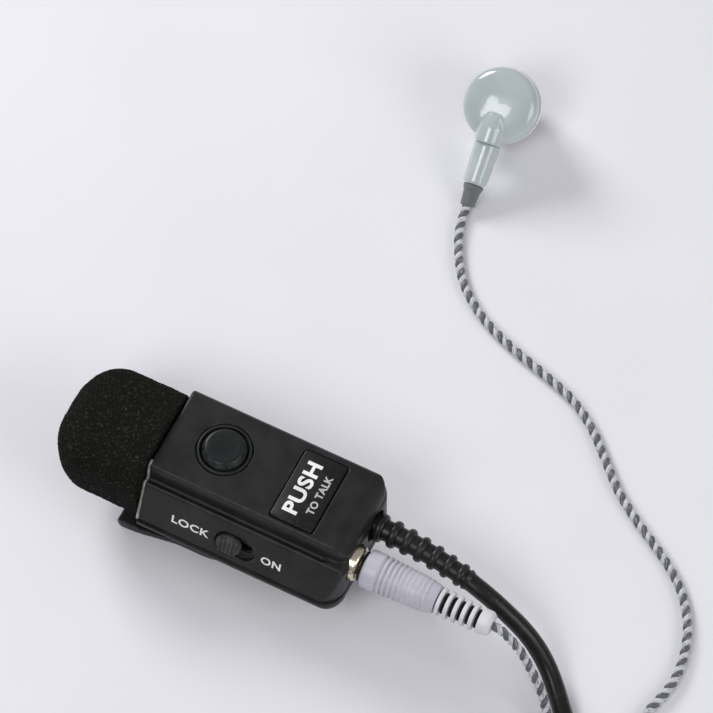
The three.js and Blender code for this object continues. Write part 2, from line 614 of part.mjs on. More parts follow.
const armPlan = mirroredPlan([
  [-17.5, -CLIP_LEVER_HALF_WIDTH + 1], [-16.5, -CLIP_LEVER_HALF_WIDTH],
  [-8, -CLIP_LEVER_HALF_WIDTH + 0.3], [0, -CLIP_JAW_HALF_WIDTH],
  [CLIP_JAW_X - 2, -CLIP_JAW_HALF_WIDTH + 0.4], [CLIP_JAW_X, -CLIP_JAW_HALF_WIDTH + 2],
]);
const UPPER_TOOTH = { tip: 2.4, root: 3.1 };
const LOWER_TOOTH = { tip: 2.1, root: 1.4 };
const TOOTH_STATIONS = [13.9, 13.2, 12.5, 11.8, 11.1, 10.4]; // tips and roots in turn
const upperTeeth = new THREE.Shape([
  [CLIP_JAW_X, CLIP_PLATE_BOTTOM + 0.1], [CLIP_JAW_X, 2.9],
  ...TOOTH_STATIONS.map((x, index) => [x, index % 2 ? UPPER_TOOTH.root : UPPER_TOOTH.tip]),
  [9.6, CLIP_PLATE_BOTTOM + 0.1],
].map(([x, z]) => new THREE.Vector2(x, z)));

/** A pair of ears round the pin, on both sides. */
function ears(inner, outer, low, high, reach) {
  const halves = [-1, 1].map((side) => {
    const [y0, y1] = side < 0 ? [-outer, -inner] : [inner, outer];
    return join(
      box([PIN.x - reach, y0, low], [PIN.x + reach, y1, high]),
      rod('y', reach, y0, y1, [PIN.x, PIN.z], 20),
    );
  });
  return join(...halves);
}
const pinHole = rod('y', PIN.radius + 0.1, -12, 12, [PIN.x, PIN.z], 16);
const rivetSink = rod('z', 2.9, CLIP_PLATE_BOTTOM - 1, CLIP_PLATE_BOTTOM + 0.5, [RIVET_X, 0], 20);
piece('clip_upper_arm', cut(
  join(
    standing(armPlan, CLIP_PLATE_BOTTOM, CLIP_PLATE_TOP),
    acrossY(upperTeeth, -CLIP_JAW_HALF_WIDTH + 2, CLIP_JAW_HALF_WIDTH - 2),
    ears(4.4, 5.7, PIN.z, CLIP_PLATE_BOTTOM + 0.1, 1.5),
  ),
  pinHole,
  rod('z', RIVET_HOLE_RADIUS, 0, 10, [RIVET_X, 0], 20),
  rivetSink,
), BLACK_PLASTIC);

const lowerSide = new THREE.Shape();
lowerSide.moveTo(CLIP_LEVER_X + 0.6, 0);
lowerSide.quadraticCurveTo(-18, 0.5, -10, 0.55);
lowerSide.quadraticCurveTo(0, 0.5, 6, 0);
lowerSide.lineTo(CLIP_JAW_X - 1, 0);
lowerSide.quadraticCurveTo(CLIP_JAW_X, 0.1, CLIP_JAW_X, 1.2);
TOOTH_STATIONS.forEach((x, index) => {
  lowerSide.lineTo(x, index % 2 ? LOWER_TOOTH.root : LOWER_TOOTH.tip);
});
lowerSide.lineTo(9.6, 1.5);
lowerSide.quadraticCurveTo(0, 2, -8, 1.9);
lowerSide.lineTo(-14, 1.9);
lowerSide.quadraticCurveTo(-20, 1.9, CLIP_LEVER_X + 0.4, 2.5);
lowerSide.quadraticCurveTo(CLIP_LEVER_X - 0.6, 1.4, CLIP_LEVER_X + 0.6, 0);
const LEVER_END_HALF_WIDTH = 9;
const lowerPlan = mirroredPlan([
  [CLIP_LEVER_X - 1, -LEVER_END_HALF_WIDTH], [-22, -LEVER_END_HALF_WIDTH],
  [-14, -CLIP_LEVER_HALF_WIDTH], [-7, -CLIP_LEVER_HALF_WIDTH], [1, -CLIP_JAW_HALF_WIDTH],
  [CLIP_JAW_X - 2, -CLIP_JAW_HALF_WIDTH + 0.4], [CLIP_JAW_X + 1, -CLIP_JAW_HALF_WIDTH + 2],
]);
piece('clip_lower_arm', cut(
  join(
    acrossY(lowerSide, -10, 10).intersect(standing(lowerPlan, -1, 6)),
    ears(6, 7.4, 1.2, PIN.z, 1.4),
  ),
  pinHole,
), BLACK_PLASTIC);

piece('clip_pin', rod('y', PIN.radius, -7.8, 7.8, [PIN.x, PIN.z], 16), STEEL);
piece('swivel_rivet', turned('z', [
  [0, CLIP_PLATE_BOTTOM - 0.7], [2.5, CLIP_PLATE_BOTTOM - 0.7], [2.5, CLIP_PLATE_BOTTOM + 0.2],
  [1.5, CLIP_PLATE_BOTTOM + 0.2], [1.5, COVER_TOP + GAP], [2.8, COVER_TOP + GAP], [2.8, COVER_TOP + 1.1],
  [0, COVER_TOP + 1.1],
], [RIVET_X, 0], 16), STEEL);
piece('swivel_washer', turned('z', [
  [RIVET_HOLE_RADIUS, CLIP_PLATE_TOP + GAP], [5.5, CLIP_PLATE_TOP + GAP], [5.5, HOUSING_BOTTOM - GAP],
  [RIVET_HOLE_RADIUS, HOUSING_BOTTOM - GAP], [RIVET_HOLE_RADIUS, CLIP_PLATE_TOP + GAP],
], [RIVET_X, 0], 20), BLACK_PLASTIC);

const SPRING = { turns: 4.5, radius: 1.28, halfWidth: 2.2, leg: 6.5, wire: 0.3 };

/** The clip's torsion spring: turns round the pin, with a leg along each arm at the lever end. */
class SpringCurve extends THREE.Curve {
  getPoint(t) {
    const legShare = 0.13;
    const wound = THREE.MathUtils.clamp((t - legShare) / (1 - 2 * legShare), 0, 1);
    const angle = (2 * SPRING.turns * wound - 0.5) * Math.PI;
    const reach = Math.max(legShare - t, t - 1 + legShare, 0) / legShare;
    return new THREE.Vector3(
      PIN.x + SPRING.radius * Math.cos(angle) - SPRING.leg * reach,
      (2 * wound - 1) * SPRING.halfWidth,
      PIN.z + SPRING.radius * Math.sin(angle),
    );
  }
}
const wire = new THREE.Shape();
wire.absarc(0, 0, SPRING.wire, 0, 2 * Math.PI);
piece('clip_spring', solid(new THREE.ExtrudeGeometry(wire, {
  extrudePath: new SpringCurve(), steps: 72, curveSegments: 3,
})), STEEL);

// Cable, its coil, tie and radio plug

const coilClear = coilRing(CABLE_COIL, GAP);
piece('cable', cut(tube(CABLE_ROUTE, CABLE_RADIUS, 26), coilClear), BLACK_RUBBER);
piece('cable_coil', coilRing(CABLE_COIL), BLACK_RUBBER);
piece('cable_tie', coilTie(CABLE_COIL, -0.35 * Math.PI, 5), BLACK_GLOSS);
piece('cable_tail', cut(tube(CABLE_TAIL_ROUTE, CABLE_RADIUS, 12), coilClear), BLACK_RUBBER);

const radioPlug = new THREE.Group();
radioPlug.position.set(RADIO_PLUG_START.x, RADIO_PLUG_START.y, RADIO_PLUG_START.z);
radioPlug.rotation.z = RADIO_PLUG_HEADING;
group.add(radioPlug);
const RADIO_RELIEF_LENGTH = 13.8;
const radioReliefProfile = [[0, 0], [2.3, 0]];
for (let rib = 0; rib < 4; rib += 1) {
  const start = 1.3 + rib * 3;
  const radius = 2.3 + rib * 0.2;
  radioReliefProfile.push([radius, start], [radius - 0.4, start], [radius - 0.4, start + 1.4]);
  radioReliefProfile.push([radius + 0.2, start + 1.4]);
}
radioReliefProfile.push([3.1, RADIO_RELIEF_LENGTH], [0, RADIO_RELIEF_LENGTH]);
piece('radio_plug_strain_relief', turned('x', radioReliefProfile, [0, 0], 16), BLACK_RUBBER, radioPlug);
const RADIO_BODY = { start: RADIO_RELIEF_LENGTH + GAP, length: 16, halfWidth: 8.6, halfHeight: 4.1 };
const radioBodyEnd = RADIO_BODY.start + RADIO_BODY.length;
const plugPlan = roundedRectangle(
  RADIO_BODY.start, -RADIO_BODY.halfWidth, radioBodyEnd, RADIO_BODY.halfWidth, [2, 4.5, 4.5, 2],
);
const plugEnd = roundedRectangle(
  -RADIO_BODY.halfWidth, -RADIO_BODY.halfHeight, RADIO_BODY.halfWidth, RADIO_BODY.halfHeight,
  Array(4).fill(2.6),
);
const RADIO_PINS = [
  { name: 'large', radius: 1.75, length: 14, y: -5.5 },
  { name: 'small', radius: 1.25, length: 11, y: 5.5 },
];
const RADIO_PIN_ROOT = 2; // how deep the pins stand in the body
piece('radio_plug_body', cut(
  standing(plugPlan, -5, 5).intersect(alongX(plugEnd, RADIO_BODY.start - 1, radioBodyEnd + 1)),
  ...RADIO_PINS.map(({ radius, y }) => (
    rod('x', radius + GAP, radioBodyEnd - RADIO_PIN_ROOT - GAP, radioBodyEnd + 1, [y, 0], 16)
  )),
), BLACK_PLASTIC, radioPlug);

/** A stereo pin with its insulating rings as grooves. */
const plugPin = (radius, start, length, y, z) => turned('x', [
  [0, start], [radius, start], [radius, start + length * 0.42], [radius - 0.25, start + length * 0.44],
  [radius - 0.25, start + length * 0.5], [radius, start + length * 0.52], [radius, start + length - 3.4],
  [radius - 0.25, start + length - 3.3], [radius - 0.25, start + length - 2.7],
  [radius - 0.05, start + length - 2.6], [radius - 0.75, start + length - 1.7],
  [radius - 0.05, start + length - 1], [0, start + length],
], [y, z], 12);
for (const { name, radius, length, y } of RADIO_PINS) {
  const pin = plugPin(radius, radioBodyEnd - RADIO_PIN_ROOT, length + RADIO_PIN_ROOT, y, 0);
  piece(`radio_plug_pin_${name}`, pin, GOLD, radioPlug);
}

// Earphone plug and cord

piece('earphone_plug_pin', plugPin(1.75, 0, 14, JACK_Y, AXIS_Z)
  .rotate([0, 0, 180]).translate([PLUG_BODY_START - GAP, 2 * JACK_Y, 0]), GOLD);
const plugEndX = PLUG_BODY_START + PLUG_BODY_LENGTH;
piece('earphone_plug_body', turned('x', [
  [0, PLUG_BODY_START], [PLUG_BODY_RADIUS - 0.3, PLUG_BODY_START],
  [PLUG_BODY_RADIUS, PLUG_BODY_START + 0.4], [PLUG_BODY_RADIUS, plugEndX - 4],
  [PLUG_BODY_RADIUS - 0.5, plugEndX - 1], [PLUG_BODY_RADIUS - 1, plugEndX], [0, plugEndX],
], [JACK_Y, AXIS_Z], 24), GREY_PLASTIC);
const plugReliefProfile = [[0, plugEndX + GAP], [2.7, plugEndX + GAP]];
for (let slot = 0; slot < 5; slot += 1) {
  const start = plugEndX + GAP + 0.8 + slot * 1.65;
  const radius = 2.7 - slot * 0.06;
  plugReliefProfile.push([radius, start], [1.6, start], [1.6, start + 0.75], [radius - 0.03, start + 0.75]);
}
plugReliefProfile.push([2.4, plugEndX + PLUG_RELIEF_LENGTH - 0.6], [1.9, plugEndX + PLUG_RELIEF_LENGTH]);
plugReliefProfile.push([0, plugEndX + PLUG_RELIEF_LENGTH]);
piece('earphone_plug_strain_relief', turned('x', plugReliefProfile, [JACK_Y, AXIS_Z], 16), GREY_PLASTIC);

const cordCoilClear = coilRing(CORD_COIL, GAP);
piece('earphone_cord', cut(tube(CORD_ROUTE, CORD_RADIUS, 24), cordCoilClear), TWISTED_CORD);
piece('earphone_cord_coil', coilRing(CORD_COIL), TWISTED_CORD);
piece('earphone_cord_tie', coilTie(CORD_COIL, -0.3 * Math.PI, 3), BLACK_GLOSS);
piece('earphone_cord_return', cut(tube(CORD_RETURN_ROUTE, CORD_RADIUS, 36), cordCoilClear), TWISTED_CORD);

// Earphone: drawn with its axis along +Z (cap up) and its stem along +X, then set down on tip and stem

const earphone = new THREE.Group();
earphone.position.set(EARPHONE.x, EARPHONE.y, EARPHONE.z);
earphone.rotation.set(0, STEM_DIP, STEM_HEADING, 'ZYX');
group.add(earphone);
const about = [0, 0];
piece('earphone_rear_cap', turned('z', [
  [0, 0.4], [6.9, 0.4], [7.3, 1], [7.4, 2.2], [7, 3.3], [5.6, 4.2], [3, 4.7], [0, 4.85],
], about, 24), BLUE_GREY, earphone);
piece('earphone_trim_ring', turned('z', [
  [6.1, -0.8], [7.1, -0.8], [7.1, 0.1], [6.1, 0.1], [6.1, -0.8],
], about, 24), BLACK_GLOSS, earphone);
piece('earphone_front_shell', cut(
  turned('z', [
    [0, -8.2], [2.3, -8.2], [2.7, -7.8], [2.7, -5.6], [4.6, -4.6], [6.6, -3.4], [7.3, -2.4], [7.4, -1.1],
    [0, -1.1],
  ], about, 24),
  turned('z', [[0, -7.4], [1.7, -7.4], [1.7, -4.6], [5.2, -2.8], [5.2, 0], [0, 0]], about, 16),
  rod('z', 1.1, -9, -7, about, 16),
), WHITE_PLASTIC, earphone);
piece('earphone_driver', rod('z', 4.8, -2.5, -1.4, about, 24), STEEL, earphone);
piece('earphone_mesh', rod('z', 1.4, -7.1, -6.6, about, 16), STEEL, earphone);
piece('ear_tip', turned('z', [
  [3, -5.9], [3, -8.4], [2.2, -9], [2.5, -9.6], [4.2, -9.5], [5.2, -8.4], [5.6, -6.9], [5.6, -5.9],
  [5.1, -5.9], [5, -6.9], [4.6, -7.9], [3.6, -8.6], [3.4, -8.2], [3.4, -5.9], [3, -5.9],
], about, 20), GREY_RUBBER, earphone);
piece('earphone_stem', rod('x', 2.6, 7.8, 15.8, [0, 2], 16, 2.3), BLUE_GREY, earphone);
piece('earphone_stem_strain_relief', rod('x', 1.9, 16.1, 20.4, [0, 2], 12, 1.4), GREY_RUBBER, earphone);

export default group;
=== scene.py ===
"""Clip-on push-to-talk microphone, with its cable, radio plug and plugged-in earphone.

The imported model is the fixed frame. The cords, their coils, the camera, the lights and the
finishes are in metres. The other classes hold millimetres, and their meshes are scaled to metres
as they are made.
"""

import logging
import math
from collections.abc import Sequence
from dataclasses import dataclass, field, replace
from enum import Enum

import bmesh
import bpy
import numpy as np
from mathutils import Matrix, Vector, noise


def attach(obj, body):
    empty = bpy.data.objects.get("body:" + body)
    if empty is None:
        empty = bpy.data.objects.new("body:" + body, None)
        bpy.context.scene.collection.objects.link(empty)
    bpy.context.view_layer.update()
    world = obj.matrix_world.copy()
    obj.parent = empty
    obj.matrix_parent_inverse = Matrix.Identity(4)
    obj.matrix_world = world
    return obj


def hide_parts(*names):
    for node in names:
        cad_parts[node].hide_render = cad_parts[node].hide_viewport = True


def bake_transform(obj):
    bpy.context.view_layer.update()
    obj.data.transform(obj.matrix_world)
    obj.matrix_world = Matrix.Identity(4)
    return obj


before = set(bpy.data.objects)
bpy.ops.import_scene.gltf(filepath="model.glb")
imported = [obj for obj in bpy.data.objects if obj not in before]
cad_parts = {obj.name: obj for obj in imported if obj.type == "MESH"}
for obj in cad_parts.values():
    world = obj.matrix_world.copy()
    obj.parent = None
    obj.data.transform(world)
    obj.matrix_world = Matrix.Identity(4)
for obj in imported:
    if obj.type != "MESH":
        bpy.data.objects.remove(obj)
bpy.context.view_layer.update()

log = logging.getLogger("microphone")

MM = 0.001
Point2 = tuple[float, float]
Point3 = tuple[float, float, float]
Color = tuple[float, float, float]
Piece = bpy.types.Object
Tree = bpy.types.NodeTree
Node = bpy.types.Node
Socket = bpy.types.NodeSocket


class Body(Enum):
    """The bodies that pieces ride on."""

    MIC = "mic_unit"
    PTT = "ptt"
    LOCK = "lock"
    WINDSCREEN = "windscreen"
    CLIP_BASE = "clip_base"
    CLIP_JAW = "clip_jaw"


class Plane(Enum):
    """The plane that a prism's outline is drawn in; it is extruded along the third axis."""

    XY = (0, 1, 2)
    XZ = (0, 2, 1)
    YZ = (1, 2, 0)


# ---- shader groups


def new_group(name: str, inputs: dict[str, float], outputs: Sequence[str]) -> Tree:
    """Make an empty shader node group.

    Args:
        name: The group's name.
        inputs: Input names with their default values.
        outputs: Names of the value outputs.

    Returns:
        The group, with a Group Input and a Group Output node.
    """
    group = bpy.data.node_groups.new(name, "ShaderNodeTree")
    for label, value in inputs.items():
        socket = group.interface.new_socket(label, in_out="INPUT", socket_type="NodeSocketFloat")
        socket.default_value = value
    for label in outputs:
        group.interface.new_socket(label, in_out="OUTPUT", socket_type="NodeSocketFloat")
    group.nodes.new("NodeGroupInput").name = "in"
    group.nodes.new("NodeGroupOutput").name = "out"
    return group


def math_node(tree: Tree, operation: str, a: object, b: object = 0.0) -> Socket:
    """Add a Math node and return its output socket; a and b are sockets or numbers."""
    node = tree.nodes.new("ShaderNodeMath")
    node.operation = operation
    for index, value in enumerate((a, b)):
        if isinstance(value, (int, float)):
            node.inputs[index].default_value = value
        else:
            tree.links.new(value, node.inputs[index])
    return node.outputs[0]


def ramp_node(tree: Tree, value: object, low: float, high: float) -> Socket:
    """Map a value from the range low..high to 0..1, smoothly, and return the output socket."""
    node = tree.nodes.new("ShaderNodeMapRange")
    node.interpolation_type = "SMOOTHSTEP"
    tree.links.new(value, node.inputs["Value"])
    node.inputs["From Min"].default_value = low
    node.inputs["From Max"].default_value = high
    return node.outputs["Result"]


def noise_node(tree: Tree, scale: object, detail: float) -> Socket:
    """Add a noise on Object coordinates and return its output socket; scale is a socket or number."""
    place = tree.nodes.new("ShaderNodeTexCoord")
    node = tree.nodes.new("ShaderNodeTexNoise")
    tree.links.new(place.outputs["Object"], node.inputs["Vector"])
    if isinstance(scale, (int, float)):
        node.inputs["Scale"].default_value = scale
    else:
        tree.links.new(scale, node.inputs["Scale"])
    node.inputs["Detail"].default_value = detail
    return node.outputs[0]


def stretched_noise(tree: Tree, source: str, stretch: Point3, scale: float) -> Socket:
    """Add a noise that is drawn out along an axis.

    Args:
        tree: The material's tree.
        source: The Texture Coordinate output that it reads.
        stretch: How many features there are along each axis, against the others.
        scale: The noise's own scale.

    Returns:
        The noise's output socket, 0..1.
    """
    place = tree.nodes.new("ShaderNodeTexCoord")
    mapping = tree.nodes.new("ShaderNodeMapping")
    mapping.inputs["Scale"].default_value = stretch
    node = tree.nodes.new("ShaderNodeTexNoise")
    node.inputs["Scale"].default_value = scale
    tree.links.new(place.outputs[source], mapping.inputs["Vector"])
    tree.links.new(mapping.outputs["Vector"], node.inputs["Vector"])
    return node.outputs[0]


def grain_group() -> Tree:
    """Moulded grain: a fine height and a slow tone, both 0..1, at a number of grains per metre."""
    group = new_group("moulded_grain", {"Fineness": 4000.0}, ["Height", "Tone"])
    start, end = group.nodes["in"], group.nodes["out"]
    group.links.new(noise_node(group, start.outputs["Fineness"], 3.0), end.inputs["Height"])
    slow = math_node(group, "MULTIPLY", start.outputs["Fineness"], 0.03)
    group.links.new(noise_node(group, slow, 2.0), end.inputs["Tone"])
    return group


def wear_and_highlight_group() -> Tree:
    """Edge wear and painted edge highlight: a mask along the edges that the attribute "edge" marks, broken
    up by noise.
    """
    group = new_group("edge_wear_and_highlight", {"Amount": 1.0}, ["Mask"])
    start, end = group.nodes["in"], group.nodes["out"]
    edge = group.nodes.new("ShaderNodeAttribute")
    edge.attribute_name = "edge"
    broken = ramp_node(group, noise_node(group, 700.0, 3.0), 0.35, 0.75)
    wear_and_highlight_edges = math_node(group, "MULTIPLY", edge.outputs["Fac"], broken)
    mask = math_node(group, "MULTIPLY", wear_and_highlight_edges, start.outputs["Amount"])
    group.links.new(mask, end.inputs["Mask"])
    return group


def dust_group() -> Tree:
    """Dust: sparse small specks as a mask."""
    group = new_group("dust_specks", {"Amount": 1.0}, ["Mask"])
    start, end = group.nodes["in"], group.nodes["out"]
    specks = ramp_node(group, noise_node(group, 2600.0, 1.0), 0.70, 0.76)
    patches = ramp_node(group, noise_node(group, 90.0, 2.0), 0.45, 0.7)
    sparse = math_node(group, "MULTIPLY", specks, patches)
    mask = math_node(group, "MULTIPLY", sparse, start.outputs["Amount"])
    group.links.new(mask, end.inputs["Mask"])
    return group


GRAIN = grain_group()
WEAR_AND_HIGHLIGHT = wear_and_highlight_group()
DUST = dust_group()


# ---- finishes


@dataclass(frozen=True)
class Finish:
    """A moulded finish: grain, slow tone variation, edges lightened for wear and as a painted highlight,
    and dust over one base colour.

    Sizes are in metres: fineness is grains per metre and depth is the grain's height.
    """

    name: str
    color: Color
    roughness: float
    metallic: float = 0.0
    fineness: float = 4500.0
    depth: float = 2.0e-5
    tone: float = 0.25
    wear_and_highlight_color: Color = (0.10, 0.10, 0.10)
    wear_and_highlight: float = 0.5
    dust: float = 0.25
    dust_color: Color = (0.35, 0.34, 0.33)
    specular: float = 0.5
    coat: float = 0.0
    coat_roughness: float = 0.1
    sheen: float = 0.0
    sheen_roughness: float = 0.5
    roughness_spread: float = 0.3

    def material(self) -> bpy.types.Material:
        """Return this finish's material, built the first time it is asked for."""
        found = bpy.data.materials.get(self.name)
        if found is not None:
            return found
        made = bpy.data.materials.new(self.name)
        made.use_nodes = True
        tree = made.node_tree
        surface = tree.nodes["Principled BSDF"]
        for label, value in (
            ("Metallic", self.metallic), ("Specular IOR Level", self.specular),
            ("Coat Weight", self.coat), ("Coat Roughness", self.coat_roughness),
            ("Sheen Weight", self.sheen), ("Sheen Roughness", self.sheen_roughness),
        ):
            surface.inputs[label].default_value = value
        self.paint(tree, surface)
        return made

    def paint(self, tree: Tree, surface: Node) -> None:
        """Wire colour, roughness and bump into the surface node."""
        grain = placed(tree, GRAIN, Fineness=self.fineness)
        color = self.base_color(tree, grain)
        # The edge mask lightens edges for wear and, on the shell finishes, as a painted highlight.
        wear_and_highlight = placed(tree, WEAR_AND_HIGHLIGHT, Amount=self.wear_and_highlight)
        color = mixed(tree, wear_and_highlight.outputs["Mask"], color, self.wear_and_highlight_color)
        dust = placed(tree, DUST, Amount=self.dust)
        color = mixed(tree, dust.outputs["Mask"], color, self.dust_color)
        tree.links.new(color, surface.inputs["Base Color"])
        around_zero = math_node(tree, "SUBTRACT", grain.outputs["Tone"], 0.5)
        spread = math_node(tree, "MULTIPLY", around_zero, self.roughness_spread)
        rough = math_node(tree, "ADD", spread, self.roughness)
        tree.links.new(rough, surface.inputs["Roughness"])
        bump = tree.nodes.new("ShaderNodeBump")
        bump.inputs["Strength"].default_value = 1.0
        bump.inputs["Distance"].default_value = self.depth
        tree.links.new(self.height(tree, grain), bump.inputs["Height"])
        tree.links.new(bump.outputs["Normal"], surface.inputs["Normal"])

    def base_color(self, tree: Tree, grain: Node) -> Socket:
        """The base colour as a socket: the finish's colour, lighter and darker with the tone."""
        darker = tuple(channel * (1 - self.tone) for channel in self.color)
        lighter = tuple(min(channel * (1 + self.tone), 1.0) for channel in self.color)
        tone = ramp_node(tree, grain.outputs["Tone"], 0.3, 0.7)
        return mixed(tree, tone, darker, lighter)

    def height(self, tree: Tree, grain: Node) -> Socket:
        """The bump height as a socket."""
        return grain.outputs["Height"]


@dataclass(frozen=True)
class FoamFinish(Finish):
    """Open-cell foam: small dark cells between struts, with a painted highlight on a few of the struts."""

    cell_fineness: float = 1500.0
    strut_highlight_color: Color = (0.060, 0.060, 0.053)

    def cells(self, tree: Tree) -> Socket:
        """Distance to the nearest cell centre, 0 in a cell's middle."""
        place = tree.nodes.new("ShaderNodeTexCoord")
        node = tree.nodes.new("ShaderNodeTexVoronoi")
        node.inputs["Scale"].default_value = self.cell_fineness
        tree.links.new(place.outputs["Object"], node.inputs["Vector"])
        return node.outputs["Distance"]

    def base_color(self, tree: Tree, grain: Node) -> Socket:
        """Dark cells and struts, with a painted highlight on a few struts that catch the light."""
        strut = ramp_node(tree, self.cells(tree), 0.38, 0.85)
        # Painted highlight: struts are lightened where the grain is high.
        glint_mask = ramp_node(tree, grain.outputs["Height"], 0.52, 0.66)
        return mixed(tree, math_node(tree, "MULTIPLY", strut, glint_mask), self.color, self.strut_highlight_color)

    def height(self, tree: Tree, grain: Node) -> Socket:
        """Cells sink between their struts."""
        return self.cells(tree)


@dataclass(frozen=True)
class BrushedFinish(Finish):
    """Drawn or turned metal: fine lines along one axis."""

    stretch: Point3 = (1.0, 1.0, 0.05)

    def height(self, tree: Tree, grain: Node) -> Socket:
        """Noise stretched along the lines."""
        return stretched_noise(tree, "Object", self.stretch, self.fineness)


@dataclass(frozen=True)
class JacketFinish(Finish):
    """Extruded cord jacket: faint rings across and streaks along its own UV map."""

    ring_pitch: float = 0.0016
    streaks_per_ring: float = 0.006
    fleck_color: Color = (0.05, 0.045, 0.042)

    def rings(self, tree: Tree) -> Socket:
        """Noise that changes mostly along the cord."""
        per_metre = 1.0 / self.ring_pitch
        return stretched_noise(tree, "UV", (per_metre, per_metre * self.streaks_per_ring, 1.0), 1.0)

    def base_color(self, tree: Tree, grain: Node) -> Socket:
        """The jacket's colour with soft rings of the fleck colour."""
        ring = ramp_node(tree, self.rings(tree), 0.5, 0.75)
        return mixed(tree, ring, self.color, self.fleck_color)

    def height(self, tree: Tree, grain: Node) -> Socket:
        """Grain over the rings."""
        return math_node(tree, "ADD", self.rings(tree), grain.outputs["Height"])


def placed(tree: Tree, group: Tree, **values: float) -> Node:
    """Place a shader group in a material with its own input values."""
    node = tree.nodes.new("ShaderNodeGroup")
    node.node_tree = group
    for label, value in values.items():
        node.inputs[label].default_value = value
    return node


def mixed(tree: Tree, factor: object, low: object, high: object) -> Socket:
    """Mix two colours by a factor socket and return the result; colours are sockets or tuples."""
    node = tree.nodes.new("ShaderNodeMix")
    node.data_type = "RGBA"
    tree.links.new(factor, node.inputs[0])
    for index, value in ((6, low), (7, high)):
        if isinstance(value, tuple):
            node.inputs[index].default_value = (*value, 1.0)
        else:
            tree.links.new(value, node.inputs[index])
    return node.outputs[2]


# The shell's lighter edge colour is partly wear and partly a painted highlight along its rounded edges.
SHELL = Finish(
    "satin_black_shell", (0.0170, 0.0176, 0.0166), 0.38, depth=1.2e-5, fineness=5200.0,
    wear_and_highlight=0.75, wear_and_highlight_color=(0.150, 0.150, 0.145), specular=0.22, dust=0.10,
)
# Painted highlight: a light colour, lighter still at its edges, for the light that the housing's rounded
# front edge catches.
SHELL_EDGE_HIGHLIGHT = Finish(
    "painted_highlight_shell_edge", (0.230, 0.225, 0.210), 0.28, depth=0.8e-5, fineness=5200.0,
    wear_and_highlight=0.8, wear_and_highlight_color=(0.60, 0.57, 0.53),
)
BUTTON = Finish(
    "blue_black_button", (0.0130, 0.0185, 0.0172), 0.30, depth=0.6e-5, fineness=3500.0,
    wear_and_highlight=0.95, wear_and_highlight_color=(0.17, 0.19, 0.18), specular=0.32,
)
LABEL_BLACK = Finish(
    "gloss_black_label", (0.0160, 0.0150, 0.0155), 0.3, depth=2e-6, dust=0.4, wear_and_highlight=0.35, specular=0.2,
    wear_and_highlight_color=(0.08, 0.08, 0.08),
)
PRINT = Finish(
    "white_print", (0.90, 0.90, 0.90), 0.5, depth=6e-6, fineness=9000.0, tone=0.08,
    wear_and_highlight_color=(0.4, 0.4, 0.4), dust=0.1,
)
FAINT_PRINT = Finish(
    "grey_print", (0.52, 0.50, 0.50), 0.5, depth=6e-6, fineness=9000.0, tone=0.1, dust=0.1,
)
RUBBER = Finish(
    "moulded_black_rubber", (0.0115, 0.0104, 0.0098), 0.36, depth=1.4e-5, fineness=3800.0,
    wear_and_highlight_color=(0.080, 0.064, 0.054), wear_and_highlight=0.5, specular=0.34, dust=0.12,
)
JACKET = JacketFinish(
    "black_cable_jacket", (0.0100, 0.0090, 0.0085), 0.32, depth=1.0e-5, fineness=5000.0,
    fleck_color=(0.020, 0.017, 0.0155), dust=0.3, specular=0.36,
)
FOAM = FoamFinish(
    "open_cell_foam", (0.0092, 0.0094, 0.0080), 0.95, depth=2.4e-4, fineness=3400.0,
    dust=0.12, specular=0.05,
)
STEEL = BrushedFinish(
    "nickelled_steel", (0.62, 0.62, 0.61), 0.24, metallic=1.0, depth=4e-6, fineness=9000.0,
    tone=0.06, wear_and_highlight_color=(0.45, 0.44, 0.42), dust=0.2,
)
GOLD = BrushedFinish(
    "gilded_contact", (0.83, 0.68, 0.42), 0.2, metallic=1.0, depth=3e-6, fineness=9000.0,
    tone=0.05, wear_and_highlight_color=(0.6, 0.5, 0.35), dust=0.15,
)
PALE_GOLD = replace(GOLD, name="pale_gilded_ring", color=(0.80, 0.72, 0.56), roughness=0.22)
BOARD = Finish("green_black_board", (0.006, 0.022, 0.012), 0.35, depth=1e-5, tone=0.3, coat=0.3)
# Dark plastic for the inner parts and the earphone's seam; it also paints shade in the plug relief's slots
# and in the gap in front of the plug body.
DARK_PLASTIC_AND_SHADE = Finish("dark_plastic_and_painted_shade", (0.006, 0.006, 0.006), 0.6, depth=1.2e-5, specular=0.2)
KNOB = Finish(
    "grey_black_knob", (0.030, 0.031, 0.031), 0.42, depth=1.2e-5, wear_and_highlight=0.9, specular=0.25,
    wear_and_highlight_color=(0.15, 0.15, 0.15),
)
LILAC = Finish(
    "lilac_grey_plug", (0.55, 0.545, 0.61), 0.40, depth=0.8e-5, tone=0.05, wear_and_highlight=0.25,
    wear_and_highlight_color=(0.85, 0.85, 0.88), dust=0.3, dust_color=(0.25, 0.24, 0.23),
)
PALE_RELIEF = Finish(
    "pale_plug_relief", (0.76, 0.76, 0.79), 0.45, depth=1e-5, tone=0.06, wear_and_highlight=0.2,
    wear_and_highlight_color=(0.9, 0.9, 0.9), dust=0.3, dust_color=(0.25, 0.24, 0.23),
)
CAP_GLOSS = Finish(
    "gloss_blue_grey_cap", (0.47, 0.53, 0.55), 0.2, depth=2e-6, tone=0.07, wear_and_highlight=0.2, coat=0.8,
    coat_roughness=0.05, dust=0.2, wear_and_highlight_color=(0.6, 0.62, 0.63),
)
WHITE_GLOSS = Finish(
    "gloss_white_shell", (0.86, 0.86, 0.85), 0.22, depth=3e-6, tone=0.04, coat=0.6,
    wear_and_highlight=0.15, wear_and_highlight_color=(0.6, 0.6, 0.6), dust=0.3, dust_color=(0.3, 0.29, 0.28),
)
